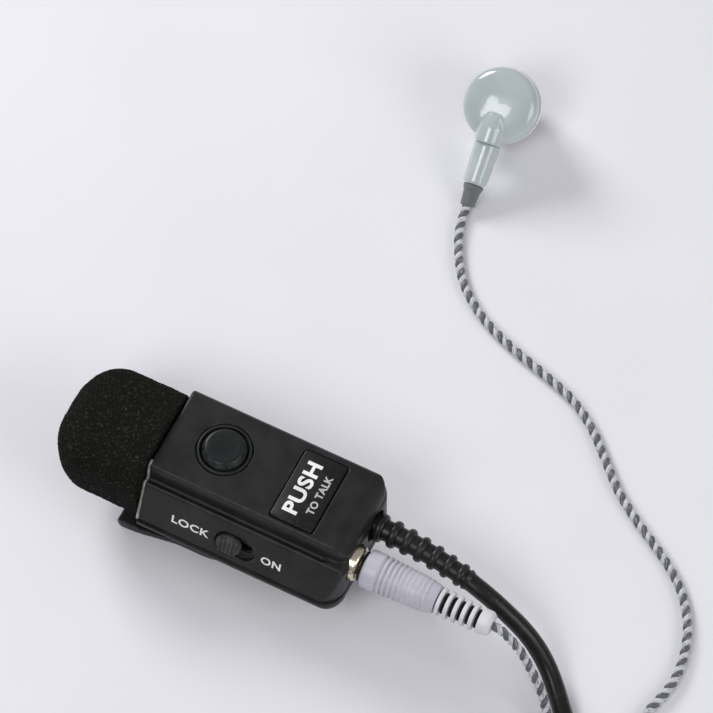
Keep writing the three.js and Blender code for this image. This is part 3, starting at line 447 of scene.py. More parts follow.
SILICONE = Finish(
    "dark_grey_silicone", (0.13, 0.135, 0.145), 0.5, depth=0.8e-5, tone=0.12, sheen=0.3,
    wear_and_highlight_color=(0.2, 0.2, 0.2),
)
PALE_STRAND = JacketFinish(
    "pale_strand", (0.66, 0.67, 0.70), 0.4, depth=1.2e-5, fineness=6000.0,
    fleck_color=(0.20, 0.21, 0.22), ring_pitch=0.0007, dust=0.4, dust_color=(0.06, 0.06, 0.06), wear_and_highlight=0.0,
)
DARK_STRAND = JacketFinish(
    "dark_strand", (0.11, 0.115, 0.125), 0.38, depth=1.2e-5, fineness=6000.0,
    fleck_color=(0.36, 0.37, 0.39), ring_pitch=0.0009, dust=0.3, dust_color=(0.4, 0.4, 0.4), wear_and_highlight=0.0,
)
PAPER = Finish(
    "studio_paper", (0.86, 0.86, 0.895), 0.75, fineness=900.0, depth=1e-5, tone=0.012, wear_and_highlight=0.0, dust=0.0,
)

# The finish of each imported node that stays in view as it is, by its own name
NODE_FINISHES: dict[str, Finish] = {
    "shell_screw_1": STEEL, "shell_screw_2": STEEL, "shell_screw_3": STEEL,
    "tact_switch_body": DARK_PLASTIC_AND_SHADE, "tact_switch_plunger": DARK_PLASTIC_AND_SHADE, "circuit_board": BOARD,
    "slide_switch_body": DARK_PLASTIC_AND_SHADE, "slide_switch_actuator": DARK_PLASTIC_AND_SHADE, "windscreen_cage": SHELL,
    "capsule_boot": RUBBER, "microphone_capsule": STEEL, "jack_socket": DARK_PLASTIC_AND_SHADE,
    "clip_pin": STEEL, "swivel_rivet": STEEL, "swivel_washer": SHELL,
    "earphone_plug_pin": GOLD, "earphone_driver": STEEL, "earphone_mesh": STEEL,
}


# ---- mesh tools


def linked(name: str, data: bpy.types.ID) -> Piece:
    """Put an object with this data in the scene and return it."""
    made = bpy.data.objects.new(name, data)
    bpy.context.scene.collection.objects.link(made)
    return made


def new_object(name: str, points: Sequence[Sequence[float]], faces: Sequence[Sequence[int]]) -> Piece:
    """Make a mesh object in the scene.

    Args:
        name: The object's name.
        points: Vertices in millimetres.
        faces: Vertex indices of each face.

    Returns:
        The object at the origin, its faces turned outwards.
    """
    mesh = bpy.data.meshes.new(name)
    scaled = [tuple(value * MM for value in point) for point in points]
    mesh.from_pydata(scaled, [], [tuple(face) for face in faces])
    made = linked(name, mesh)
    face_outwards(made)
    return made


def face_outwards(piece: Piece) -> None:
    """Merge doubles and turn every face of a closed mesh outwards."""
    work = bmesh.new()
    work.from_mesh(piece.data)
    bmesh.ops.remove_doubles(work, verts=work.verts, dist=1e-7)
    bmesh.ops.recalc_face_normals(work, faces=work.faces)
    if work.calc_volume(signed=True) < 0:
        bmesh.ops.reverse_faces(work, faces=work.faces)
    work.to_mesh(piece.data)
    work.free()


def settle(piece: Piece) -> Piece:
    """Turn a piece's modifiers into its plain mesh and remove them."""
    graph = bpy.context.evaluated_depsgraph_get()
    mesh = bpy.data.meshes.new_from_object(piece.evaluated_get(graph), depsgraph=graph)
    piece.modifiers.clear()
    old = piece.data
    piece.data = mesh
    if isinstance(old, bpy.types.Mesh):
        bpy.data.meshes.remove(old)
    return piece


def remove(piece: Piece) -> None:
    """Delete a helper object."""
    bpy.data.objects.remove(piece, do_unlink=True)


def combined(base: Piece, others: Sequence[Piece], operation: str) -> Piece:
    """Join, cut or intersect a closed mesh with others, which are used up.

    Args:
        base: The mesh that is changed.
        others: Closed meshes.
        operation: "UNION", "DIFFERENCE" or "INTERSECT".

    Returns:
        The changed base.
    """
    for other in others:
        modifier = base.modifiers.new("combine", "BOOLEAN")
        modifier.operation = operation
        modifier.object = other
        modifier.solver = "MANIFOLD"
        settle(base)
        remove(other)
    return base


def moulded(piece: Piece, voxel: float, smooth: int, keep: float) -> Piece:
    """Soften a hard form as moulding does, with an even mesh, softened edges and fewer flat faces.

    Args:
        piece: A closed mesh.
        voxel: The even mesh's size in millimetres.
        smooth: Smoothing steps.
        keep: The share of faces that stay.

    Returns:
        The same object with its new mesh.
    """
    remesh = piece.modifiers.new("even", "REMESH")
    remesh.mode = "VOXEL"
    remesh.voxel_size = voxel * MM
    soften = piece.modifiers.new("soften", "SMOOTH")
    soften.factor = 0.5
    soften.iterations = smooth
    if keep < 1.0:
        fewer = piece.modifiers.new("fewer", "DECIMATE")
        fewer.ratio = keep
    return settle(piece)


def bevelled(piece: Piece, width: float, segments: int = 2, angle: float = 30.0) -> Piece:
    """Round a mesh's hard edges.

    Args:
        piece: A closed mesh.
        width: The bevel's width in millimetres.
        segments: Its steps.
        angle: The angle in degrees past which an edge is hard.

    Returns:
        The same object with its new mesh.
    """
    bevel = piece.modifiers.new("edge", "BEVEL")
    bevel.width = width * MM
    bevel.segments = segments
    bevel.limit_method = "ANGLE"
    bevel.angle_limit = math.radians(angle)
    return settle(piece)


def stand(piece: Piece, place: Matrix) -> Piece:
    """Apply a place given in millimetres to a mesh that is already in metres."""
    scaled = place.copy()
    scaled.translation = place.translation * MM
    piece.data.transform(scaled)
    return piece


def rounded(outline: Sequence[Point2], radius: float, steps: int = 4, closed: bool = True) -> list[Point2]:
    """Round the corners of an outline.

    Args:
        outline: Corner points.
        radius: The cut-back at each corner, at most 45% of the shorter side.
        steps: Segments of each round.
        closed: Whether the outline joins back to its start.

    Returns:
        The outline with rounds in place of corners.
    """
    points = [Vector(point) for point in outline]
    count = len(points)
    result: list[Point2] = []
    for index, corner in enumerate(points):
        if not closed and index in (0, count - 1):
            result.append(tuple(corner))
            continue
        before = points[index - 1] - corner
        after = points[(index + 1) % count] - corner
        back = min(radius, 0.45 * before.length, 0.45 * after.length)
        if back < 1e-4:
            result.append(tuple(corner))
            continue
        start = corner + before.normalized() * back
        end = corner + after.normalized() * back
        for step in range(steps + 1):
            t = step / steps
            result.append(tuple(start * (1 - t) ** 2 + corner * 2 * t * (1 - t) + end * t**2))
    return result


def arc_rectangle(low: Point2, high: Point2, radii: Sequence[float], steps: int = 10) -> list[Point2]:
    """A rectangle with true arcs; radii are for high-high, low-high, low-low and high-low."""
    centres = (
        (high[0] - radii[0], high[1] - radii[0]), (low[0] + radii[1], high[1] - radii[1]),
        (low[0] + radii[2], low[1] + radii[2]), (high[0] - radii[3], low[1] + radii[3]),
    )
    outline = []
    for quarter, (centre, radius) in enumerate(zip(centres, radii)):
        for step in range(steps + 1):
            turn = (quarter + step / steps) * math.pi / 2
            outline.append((centre[0] + radius * math.cos(turn), centre[1] + radius * math.sin(turn)))
    return outline


def prism(name: str, outline: Sequence[Point2], low: float, high: float, plane: Plane) -> Piece:
    """Extrude an outline along the axis that its plane leaves free, in millimetres."""
    first, second, third = plane.value
    points = []
    for level in (low, high):
        for a, b in outline:
            point = [0.0, 0.0, 0.0]
            point[first], point[second], point[third] = a, b, level
            points.append(point)
    count = len(outline)
    faces = [list(range(count)), list(range(2 * count - 1, count - 1, -1))]
    faces += [[i, (i + 1) % count, count + (i + 1) % count, count + i] for i in range(count)]
    return new_object(name, points, faces)


def lathe(
    name: str, profile: Sequence[Point2], place: Matrix, segments: int = 64, ring: bool = False
) -> Piece:
    """Turn a profile about the local Z axis.

    Args:
        name: The object's name.
        profile: Points (radius, station) in millimetres; radius 0 makes a pole.
        place: Where the local frame stands, in millimetres.
        segments: Faces round the axis.
        ring: Whether the profile closes on itself.

    Returns:
        The closed piece.
    """
    points: list[Vector] = []
    rows: list[list[int]] = []
    for radius, station in profile:
        if radius < 1e-6:
            rows.append([len(points)] * segments)
            points.append(place @ Vector((0, 0, station)))
            continue
        rows.append(list(range(len(points), len(points) + segments)))
        for index in range(segments):
            turn = 2 * math.pi * index / segments
            points.append(place @ Vector((radius * math.cos(turn), radius * math.sin(turn), station)))
    pairs = list(zip(rows, rows[1:]))
    if ring:
        pairs.append((rows[-1], rows[0]))
    faces = []
    for near, far in pairs:
        for index in range(segments):
            after = (index + 1) % segments
            face = list(dict.fromkeys((near[index], near[after], far[after], far[index])))
            if len(face) > 2:
                faces.append(face)
    return new_object(name, points, faces)


def upright(x: float, y: float, z: float = 0.0) -> Matrix:
    """A frame whose Z is the model's Z."""
    return Matrix.Translation((x, y, z))


def along_x(x: float, y: float, z: float) -> Matrix:
    """A frame whose Z is the model's +X."""
    return Matrix.Translation((x, y, z)) @ Matrix.Rotation(math.pi / 2, 4, "Y")


def rod(name: str, radius: float, low: float, high: float, place: Matrix, segments: int) -> Piece:
    """A plain cylinder between two stations on a frame's Z axis, in millimetres."""
    return lathe(name, [(0, low), (radius, low), (radius, high), (0, high)], place, segments)


def vertex_arrays(mesh: bpy.types.Mesh) -> tuple[np.ndarray, np.ndarray]:
    """The places and the normals of a mesh's vertices, a row for each vertex."""
    found = []
    for kind in ("co", "normal"):
        values = np.zeros(len(mesh.vertices) * 3)
        mesh.vertices.foreach_get(kind, values)
        found.append(values.reshape(-1, 3))
    return found[0], found[1]


def mark_edges(piece: Piece) -> None:
    """Write how convex the surface is at each vertex to the attribute "edge", from 0 to 1."""
    mesh = piece.data
    count = len(mesh.vertices)
    place, normal = vertex_arrays(mesh)
    edges = np.zeros(len(mesh.edges) * 2, int)
    mesh.edges.foreach_get("vertices", edges)
    a, b = edges.reshape(-1, 2).T
    total = np.zeros((count, 3))
    valence = np.zeros(count)
    for one, other in ((a, b), (b, a)):
        np.add.at(total, one, place[other] - place[one])
        np.add.at(valence, one, 1.0)
    mean = total / np.maximum(valence, 1)[:, None]
    length = np.linalg.norm(place[a] - place[b], axis=1).mean()
    convex = np.clip(-(mean * normal).sum(1) / length * 4, 0, 1)
    for _ in range(2):
        spread = np.zeros(count)
        np.add.at(spread, a, convex[b])
        np.add.at(spread, b, convex[a])
        convex = 0.5 * convex + 0.5 * spread / np.maximum(valence, 1)
    layer = mesh.attributes.new("edge", "FLOAT", "POINT")
    layer.data.foreach_set("value", convex.astype(np.float32))


def dress(
    piece: Piece, finish: Finish, body: Body, slot: str, *replaces: str,
    angle: float = 32.0, edges: bool = True,
) -> Piece:
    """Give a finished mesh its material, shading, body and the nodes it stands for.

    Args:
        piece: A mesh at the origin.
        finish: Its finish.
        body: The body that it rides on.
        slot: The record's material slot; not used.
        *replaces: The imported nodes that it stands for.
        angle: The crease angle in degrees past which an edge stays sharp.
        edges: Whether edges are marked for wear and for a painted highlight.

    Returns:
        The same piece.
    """
    piece.data.materials.clear()
    piece.data.materials.append(finish.material())
    piece.data.shade_smooth()
    piece.data.set_sharp_from_angle(angle=math.radians(angle))
    if edges:
        mark_edges(piece)
    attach(piece, body.value)
    if replaces:
        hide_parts(*replaces)
    log.info("%s: %d faces on %s", piece.name, len(piece.data.polygons), body.value)
    return piece


# ---- paths


def smooth_route(points: Sequence[Point3], steps: int = 12) -> np.ndarray:
    """A Catmull-Rom curve through all the points, as a fine polyline."""
    held = np.array(points, float)
    ends = np.vstack([2 * held[0] - held[1], held, 2 * held[-1] - held[-2]])
    fine = []
    for index in range(1, len(ends) - 2):
        p0, p1, p2, p3 = ends[index - 1 : index + 3]
        for t in np.linspace(0, 1, steps, endpoint=False):
            fine.append(
                0.5 * (2 * p1 + (p2 - p0) * t + (2 * p0 - 5 * p1 + 4 * p2 - p3) * t**2
                       + (3 * p1 - p0 - 3 * p2 + p3) * t**3)
            )
    fine.append(held[-1])
    return np.array(fine)


def travel(path: np.ndarray) -> np.ndarray:
    """How far along the polyline each of its points is."""
    return np.concatenate([[0], np.cumsum(np.linalg.norm(np.diff(path, axis=0), axis=1))])


def resampled(path: np.ndarray, pitch: float) -> np.ndarray:
    """The same polyline with points at an even pitch."""
    travelled = travel(path)
    count = max(int(round(travelled[-1] / pitch)), 2) + 1
    stations = np.linspace(0, travelled[-1], count)
    return np.column_stack([np.interp(stations, travelled, path[:, axis]) for axis in range(3)])


def relaxed(path: np.ndarray, rounds: int) -> np.ndarray:
    """The polyline with small kinks smoothed out and its ends held."""
    soft = path.copy()
    for _ in range(rounds):
        soft[1:-1] = 0.5 * soft[1:-1] + 0.25 * (soft[:-2] + soft[2:])
    return soft


def frames_along(path: np.ndarray) -> tuple[np.ndarray, np.ndarray, np.ndarray]:
    """Tangents and two cross directions that don't twist along a polyline."""
    tangents = np.gradient(path, axis=0)
    tangents /= np.linalg.norm(tangents, axis=1)[:, None]
    side = np.cross(tangents[0], (0, 0, 1.0))
    if np.linalg.norm(side) < 1e-3:
        side = np.array((0, 1.0, 0))
    sides = []
    for tangent in tangents:
        side = side - tangent * (side @ tangent)
        side = side / np.linalg.norm(side)
        sides.append(side)
    sides = np.array(sides)
    return tangents, sides, np.cross(tangents, sides)


def tube(name: str, path: np.ndarray, radius: float | np.ndarray, sides: int = 12) -> Piece:
    """A closed tube along a polyline in metres, with a UV map of metres along by turns round.

    Args:
        name: The object's name.
        path: The centre line in metres.
        radius: The tube's radius in metres, or one for each point.
        sides: Faces round the tube.

    Returns:
        The tube at the origin.
    """
    _, across, above = frames_along(path)
    turns = np.arange(sides) * 2 * math.pi / sides
    radii = np.broadcast_to(np.asarray(radius, float), (len(path),))
    wide, high = np.cos(turns)[None, :, None], np.sin(turns)[None, :, None]
    spokes = across[:, None, :] * wide + above[:, None, :] * high
    rings = path[:, None, :] + spokes * radii[:, None, None]
    points = rings.reshape(-1, 3)
    rows = len(path)
    faces = []
    for near in range(0, (rows - 1) * sides, sides):
        far = near + sides
        for side in range(sides):
            after = (side + 1) % sides
            faces.append((near + side, near + after, far + after, far + side))
    first, last = len(points), len(points) + 1
    faces += [(first, (side + 1) % sides, side) for side in range(sides)]
    end = (rows - 1) * sides
    faces += [(last, end + side, end + (side + 1) % sides) for side in range(sides)]
    mesh = bpy.data.meshes.new(name)
    mesh.from_pydata(np.vstack([points, path[:1], path[-1:]]).tolist(), [], faces)
    travelled = travel(path)
    layer = mesh.uv_layers.new(name="along")
    loop_vertices = np.zeros(len(mesh.loops), int)
    mesh.loops.foreach_get("vertex_index", loop_vertices)
    ring = np.minimum(loop_vertices // sides, rows - 1)
    ring[loop_vertices == first] = 0
    turn = (loop_vertices % sides) / sides
    quads = 4 * sides * (rows - 1)
    side_of = np.tile(np.array([(s, s + 1, s + 1, s) for s in range(sides)]).ravel(), rows - 1) / sides
    turn[:quads] = side_of
    uv = np.column_stack([travelled[ring], turn]).astype(np.float32)
    layer.data.foreach_set("uv", uv.ravel())
    made = linked(name, mesh)
    face_outwards(made)
    return made


def joined(name: str, pieces: Sequence[Piece]) -> Piece:
    """Join meshes, each with its own materials, into the first and name the result."""
    with bpy.context.temp_override(
        active_object=pieces[0], selected_editable_objects=list(pieces), selected_objects=list(pieces)
    ):
        bpy.ops.object.join()
    pieces[0].name = name
    pieces[0].data.name = name
    return pieces[0]


# ---- geometry node trees


class NodeTree:
    """A small builder for Geometry Nodes trees that end in Realize Instances and Set Material."""

    def __init__(self, name: str, inputs: dict[str, float | int]) -> None:
        """Make the tree with named inputs; whole numbers make integer inputs."""
        self.tree = bpy.data.node_groups.new(name, "GeometryNodeTree")
        self.tree.interface.new_socket("Geometry", in_out="INPUT", socket_type="NodeSocketGeometry")
        self.tree.interface.new_socket("Geometry", in_out="OUTPUT", socket_type="NodeSocketGeometry")
        for label, value in inputs.items():
            kind = "NodeSocketInt" if isinstance(value, int) else "NodeSocketFloat"
            self.tree.interface.new_socket(label, in_out="INPUT", socket_type=kind).default_value = value
        self.tree.interface.new_socket("Finish", in_out="INPUT", socket_type="NodeSocketMaterial")
        self.start = self.tree.nodes.new("NodeGroupInput")
        self.end = self.tree.nodes.new("NodeGroupOutput")

    def add(self, kind: str, links: dict[str, object] | None = None, **settings: object) -> Node:
        """Add a node, set its properties and feed its inputs with sockets or plain values."""
        node = self.tree.nodes.new(kind)
        for label, value in settings.items():
            setattr(node, label, value)
        for label, value in (links or {}).items():
            socket = node.inputs[label]
            if isinstance(value, Socket):
                self.tree.links.new(value, socket)
            else:
                socket.default_value = value
        return node

    def math(self, operation: str, a: object, b: object) -> Socket:
        """Add a Math node and return its output."""
        return math_node(self.tree, operation, a, b)

    def vector(self, *parts: object) -> Socket:
        """Join up to three sockets or numbers into a vector and return its output."""
        return self.add("ShaderNodeCombineXYZ", dict(zip("XYZ", parts))).outputs[0]

    def circle(self, around: object, radius: object) -> Socket:
        """Add a circle curve and return its output."""
        inputs = {"Resolution": around, "Radius": radius}
        return self.add("GeometryNodeCurvePrimitiveCircle", inputs, mode="RADIUS").outputs[0]

    def finish(self, geometry: Socket) -> Tree:
        """Close the tree with Realize Instances, Set Shade Smooth and Set Material."""
        real = self.add("GeometryNodeRealizeInstances", {"Geometry": geometry})
        smooth = self.add("GeometryNodeSetShadeSmooth", {"Geometry": real.outputs[0]})
        inputs = {"Geometry": smooth.outputs[0], "Material": self.start.outputs["Finish"]}
        dressed = self.add("GeometryNodeSetMaterial", inputs)
        self.tree.links.new(dressed.outputs[0], self.end.inputs[0])
        return self.tree


def rib_tree() -> Tree:
    """Round ribs strung along a path; their radius runs from the first one's to the last one's."""
    build = NodeTree("ribs_along_path", {
        "Count": 7, "First Radius": 0.003, "Last Radius": 0.0025, "Half Width": 0.0007,
        "Around": 48, "Stretch": 1.0,
    })
    inputs = build.start.outputs
    curve = build.add("GeometryNodeMeshToCurve", {"Mesh": inputs["Geometry"]})
    spots = build.add("GeometryNodeResampleCurve", {"Curve": curve.outputs[0], "Count": inputs["Count"]})
    index = build.add("GeometryNodeInputIndex")
    share = build.math("DIVIDE", index.outputs[0], build.math("SUBTRACT", inputs["Count"], 1.0))
    spread = build.math("SUBTRACT", inputs["Last Radius"], inputs["First Radius"])
    radius = build.math("ADD", inputs["First Radius"], build.math("MULTIPLY", share, spread))
    tangent = build.add("GeometryNodeInputTangent")
    turn = build.add("FunctionNodeAlignRotationToVector", {"Vector": tangent.outputs[0]}, axis="Z")
    relative = build.math("DIVIDE", inputs["Half Width"], inputs["First Radius"])
    size = build.vector(relative, build.math("MULTIPLY", relative, inputs["Stretch"]), 1.0)
    section = build.add("GeometryNodeTransform", {"Geometry": build.circle(16, 1.0), "Scale": size})
    rib = build.add("GeometryNodeCurveToMesh", {
        "Curve": build.circle(inputs["Around"], 1.0), "Profile Curve": section.outputs[0],
    })
    strung = build.add("GeometryNodeInstanceOnPoints", {
        "Points": spots.outputs[0], "Instance": rib.outputs[0], "Rotation": turn.outputs[0],
        "Scale": build.math("SUBTRACT", radius, inputs["Half Width"]),
    })
    return build.finish(strung.outputs[0])


def row_tree() -> Tree:
    """A row of small round bars along local X, evenly spaced about the origin."""
    build = NodeTree("row_of_bars", {"Count": 5, "Pitch": 0.0008, "Length": 0.0036, "Radius": 0.00025})
    inputs = build.start.outputs
    reach = build.math("MULTIPLY", build.math("SUBTRACT", inputs["Count"], 1.0), inputs["Pitch"])
    row = build.add("GeometryNodeMeshLine", {
        "Count": inputs["Count"], "Start Location": build.vector(build.math("MULTIPLY", reach, -0.5)),
        "Offset": build.vector(inputs["Pitch"]),
    }, mode="OFFSET")
    bar = build.add("GeometryNodeMeshCylinder", {
        "Vertices": 16, "Radius": inputs["Radius"], "Depth": inputs["Length"], "Side Segments": 4,
    })
    placed_bars = build.add("GeometryNodeInstanceOnPoints", {
        "Points": row.outputs[0], "Instance": bar.outputs[0], "Rotation": (math.pi / 2, 0.0, 0.0),
    })
    return build.finish(placed_bars.outputs[0])


def wire_tree() -> Tree:
    """Round wire along the object's own line."""
    build = NodeTree("wire_along_path", {"Radius": 0.0003, "Around": 14})
    inputs = build.start.outputs
    curve = build.add("GeometryNodeMeshToCurve", {"Mesh": inputs["Geometry"]})
    wire = build.add("GeometryNodeCurveToMesh", {
        "Curve": curve.outputs[0], "Profile Curve": build.circle(inputs["Around"], inputs["Radius"]),
        "Fill Caps": True,
    })
    return build.finish(wire.outputs[0])


def grown(
    name: str, tree: Tree, finish: Finish, path: np.ndarray | None = None,
    place: Matrix | None = None, **values: float | int,
) -> Piece:
    """Run a Geometry Nodes tree and return its result as a plain mesh.

    Args:
        name: The object's name.
        tree: The tree.
        finish: The finish that the tree sets.
        path: A line in metres that the tree follows, or none.
        place: Where the result stands, in metres, or none.
        **values: The tree's named inputs, with underscores for spaces.

    Returns:
        The plain mesh at the origin.
    """
    mesh = bpy.data.meshes.new(name)
    if path is not None:
        mesh.from_pydata(path.tolist(), [(i, i + 1) for i in range(len(path) - 1)], [])
    made = linked(name, mesh)
    modifier = made.modifiers.new("grow", "NODES")
    modifier.node_group = tree
    sockets = {item.name: item.identifier for item in tree.interface.items_tree if item.in_out == "INPUT"}
    for label, value in values.items():
        modifier[sockets[label.replace("_", " ")]] = value
    modifier[sockets["Finish"]] = finish.material()
    settle(made)
    if place is not None:
        made.data.transform(place)
    face_outwards(made)
    return made


RIBS = rib_tree()
ROW = row_tree()
WIRE = wire_tree()


def ribs_along(
    name: str, finish: Finish, line: np.ndarray, count: int, radii: Point2, half_width: float,
    around: int = 40, stretch: float = 1.0,
) -> Piece:
    """Grow round ribs along a line.

    Args:
        name: The object's name.
        finish: Their finish.
        line: The line that they stand round, in metres.
        count: How many there are.
        radii: The outer radius of the first and of the last in millimetres.
        half_width: Half a rib's thickness in millimetres.
        around: Faces round each rib.
        stretch: A rib's width along the line against its height.

    Returns:
        The ribs as one plain mesh.
    """
    first, last = radii
    return grown(
        name, RIBS, finish, path=line, Count=count, First_Radius=first * MM, Last_Radius=last * MM,
        Half_Width=half_width * MM, Around=around, Stretch=stretch,
    )


# ---- camera and studio


@dataclass
class Studio:
    """A camera on a long lens, a pale floor and soft lights. Sizes are in metres."""

    azimuth: float = 27.0
    elevation: float = 62.0
    distance: float = 0.95
    frame_width: float = 0.133
    target: Point3 = (0.0, 0.0372, 0.010)
    floor_half: float = 1.6

    def aim(self, item: Piece, azimuth: float, elevation: float, distance: float) -> None:
        """Stand a camera or light off the target and point it there.

        Args:
            item: The camera or light.
            azimuth: Its place round the target in degrees, from the side that faces -Y.
            elevation: Its height above the floor's plane in degrees.
            distance: Its distance from the target in metres.
        """
        a, e = math.radians(azimuth), math.radians(elevation)
        way = Vector((math.sin(a) * math.cos(e), -math.cos(a) * math.cos(e), math.sin(e)))
        item.location = Vector(self.target) + way * distance
        item.rotation_euler = way.to_track_quat("Z", "Y").to_euler()

    def build(self) -> None:
        """Make the camera, the floor, the lights and the world."""
        self.add_camera()
        self.add_floor()
        self.add_light("key", azimuth=-115, elevation=35, distance=0.75, size=0.28, power=3.0)
        self.add_light("fill", azimuth=-12, elevation=50, distance=0.9, size=0.35, power=2.1)
        self.add_light("rim", azimuth=80, elevation=32, distance=0.8, size=0.45, power=1.8)
        world = bpy.data.worlds.new("studio")
        world.use_nodes = True
        sky = world.node_tree.nodes["Background"]
        sky.inputs["Color"].default_value = (0.90, 0.90, 0.96, 1.0)
        sky.inputs["Strength"].default_value = 0.34
        bpy.context.scene.world = world
        bpy.context.scene.view_settings.view_transform = "Standard"

    def add_camera(self) -> None:
        """Aim the camera with no roll; its lens frames the chosen width at the target."""
        data = bpy.data.cameras.new("camera")
        data.lens = data.sensor_width * self.distance / self.frame_width
        data.clip_start = 0.01
        camera = linked("camera", data)
        self.aim(camera, self.azimuth, self.elevation, self.distance)
        bpy.context.scene.camera = camera

    def add_floor(self) -> None:
        """Lay the floor at the height that everything rests on."""
        half = self.floor_half
        mesh = bpy.data.meshes.new("floor")
        corners = [(-half, -half, 0), (half, -half, 0), (half, half, 0), (-half, half, 0)]
        mesh.from_pydata(corners, [], [(0, 1, 2, 3)])
        mesh.materials.append(PAPER.material())
        floor = linked("floor", mesh)

    def add_light(
        self, name: str, azimuth: float, elevation: float, distance: float, size: float, power: float
    ) -> None:
        """Hang a soft square light that points at the target."""
        data = bpy.data.lights.new(name, "AREA")
        data.size = size
        data.energy = power
        self.aim(linked(name, data), azimuth, elevation, distance)


# ---- cords


@dataclass
class CoilPlan:
    """A round coil: centre, entry angle, way of winding, and the radius and height of each turn.

    Lengths are in metres and angles in degrees.
    """

    centre: Point2
    entry: float
    clockwise: bool
    turns: Sequence[Point2]
    count: float
    slip_from: float = 0.75

    def path(self, per_turn: int = 72) -> np.ndarray:
        """The centre line of the winding, turn by turn; each turn slips over in its last quarter."""
        points = []
        total = int(round(self.count * per_turn))
        for step in range(total + 1):
            turn = step / per_turn
            here = min(int(turn), len(self.turns) - 1)
            after = min(here + 1, len(self.turns) - 1)
            slip = np.clip((turn - here - self.slip_from) / (1 - self.slip_from), 0, 1)
            slip = slip * slip * (3 - 2 * slip)
            radius, height = (
                (1 - slip) * one + slip * other for one, other in zip(self.turns[here], self.turns[after])
            )
            way = -1 if self.clockwise else 1
            angle = math.radians(self.entry) + way * 2 * math.pi * turn
            x = self.centre[0] + radius * math.cos(angle)
            y = self.centre[1] + radius * math.sin(angle)
            points.append((x, y, height))
        return np.array(points)


def tie_band(
    name: str, plan: CoilPlan, angle: float, half_width: float, inner: float, outer: float, top: float
) -> Piece:
    """A strap round a coil's section.

    Args:
        name: The object's name.
        plan: The coil.
        angle: Where round the coil the strap is, in degrees.
        half_width: Half the strap's width in millimetres.
        inner: The inside of the section, as a radius in millimetres.
        outer: The outside of the section, as a radius in millimetres.
        top: The top of the section in millimetres.

    Returns:
        The strap as one closed mesh.
    """
    band = 0.55
    outside = arc_rectangle((inner - band, 0.06), (outer + band, top + band), [1.4, 1.4, 0.2, 0.2], 6)
    inside = arc_rectangle((inner, -1.0), (outer, top), [1.0, 1.0, 0.1, 0.1], 6)
    strap = prism(name, outside, -half_width, half_width, Plane.XZ)
    combined(strap, [prism("strap_hole", inside, -half_width - 1, half_width + 1, Plane.XZ)], "DIFFERENCE")
    bevelled(strap, 0.15)
    turn = Matrix.Rotation(math.radians(angle), 4, "Z")
    strap.data.transform(upright(*plan.centre) @ turn)
    return strap


@dataclass
class MicrophoneCable:
    """The black cable: out of the strain relief, over the floor, coiled and tied, to the radio plug.

    The route's lengths are in metres.
    """

    diameter: float = 0.0035
    exit: Point3 = (0.0404, 0.0034, 0.0142)
    route: Sequence[Point3] = (
        (0.0396, 0.0035, 0.0144), (0.0411, 0.0032, 0.0141), (0.0432, 0.0029, 0.0135),
        (0.0460, 0.0025, 0.0123), (0.0490, 0.0021, 0.0105), (0.0523, 0.0016, 0.0083),
        (0.0556, 0.0005, 0.0061), (0.0588, -0.0014, 0.0041), (0.0616, -0.0039, 0.0027),
        (0.0640, -0.0065, 0.0020), (0.0660, -0.0087, 0.0018), (0.0695, -0.0122, 0.0018),
        (0.0732, -0.0159, 0.0018), (0.0771, -0.0195, 0.0018), (0.0808, -0.0233, 0.0018),
        (0.0845, -0.0275, 0.0018), (0.0878, -0.0320, 0.0018),
    )
    tail: Sequence[Point3] = (
        (0.0460, -0.0533, 0.0085), (0.0430, -0.0504, 0.0077), (0.0388, -0.0488, 0.0063),
        (0.0344, -0.0490, 0.0051), (0.0307, -0.0505, 0.0045), (0.0275, -0.0521, 0.0042),
        (0.0249, -0.0534, 0.0042), (0.0240, -0.0538, 0.0042),
    )
    coil: CoilPlan = field(default_factory=lambda: CoilPlan(
        centre=(0.0691, -0.0466), entry=27.0, clockwise=True, count=7.5,
        turns=(
            (0.0235, 0.0018), (0.0200, 0.0018), (0.0165, 0.0018), (0.0165, 0.0053), (0.0200, 0.0053),
            (0.0235, 0.0053), (0.0200, 0.0088), (0.0235, 0.0088),
        ),
    ))

    def build(self, plug_pieces: Sequence[Piece]) -> None:
        wound = self.coil.path()
        before = smooth_route([*self.route, tuple(wound[0])])
        after = smooth_route([tuple(wound[-1]), *self.tail])
        path = relaxed(resampled(np.vstack([before[:-1], wound, after[1:]]), 0.0010), 4)
        cable = tube("cable_full_length", path, self.diameter / 2, sides=14)
        nodes = ("cable", "cable_coil", "cable_tail")
        dress(cable, JACKET, Body.MIC, "cable_jacket", *nodes, angle=60, edges=False)
        tie = tie_band("cable_coil_strap", self.coil, -63, 2.5, 14.3, 25.7, 10.9)
        dress(tie, RUBBER, Body.MIC, "switch_black", "cable_tie", edges=False)


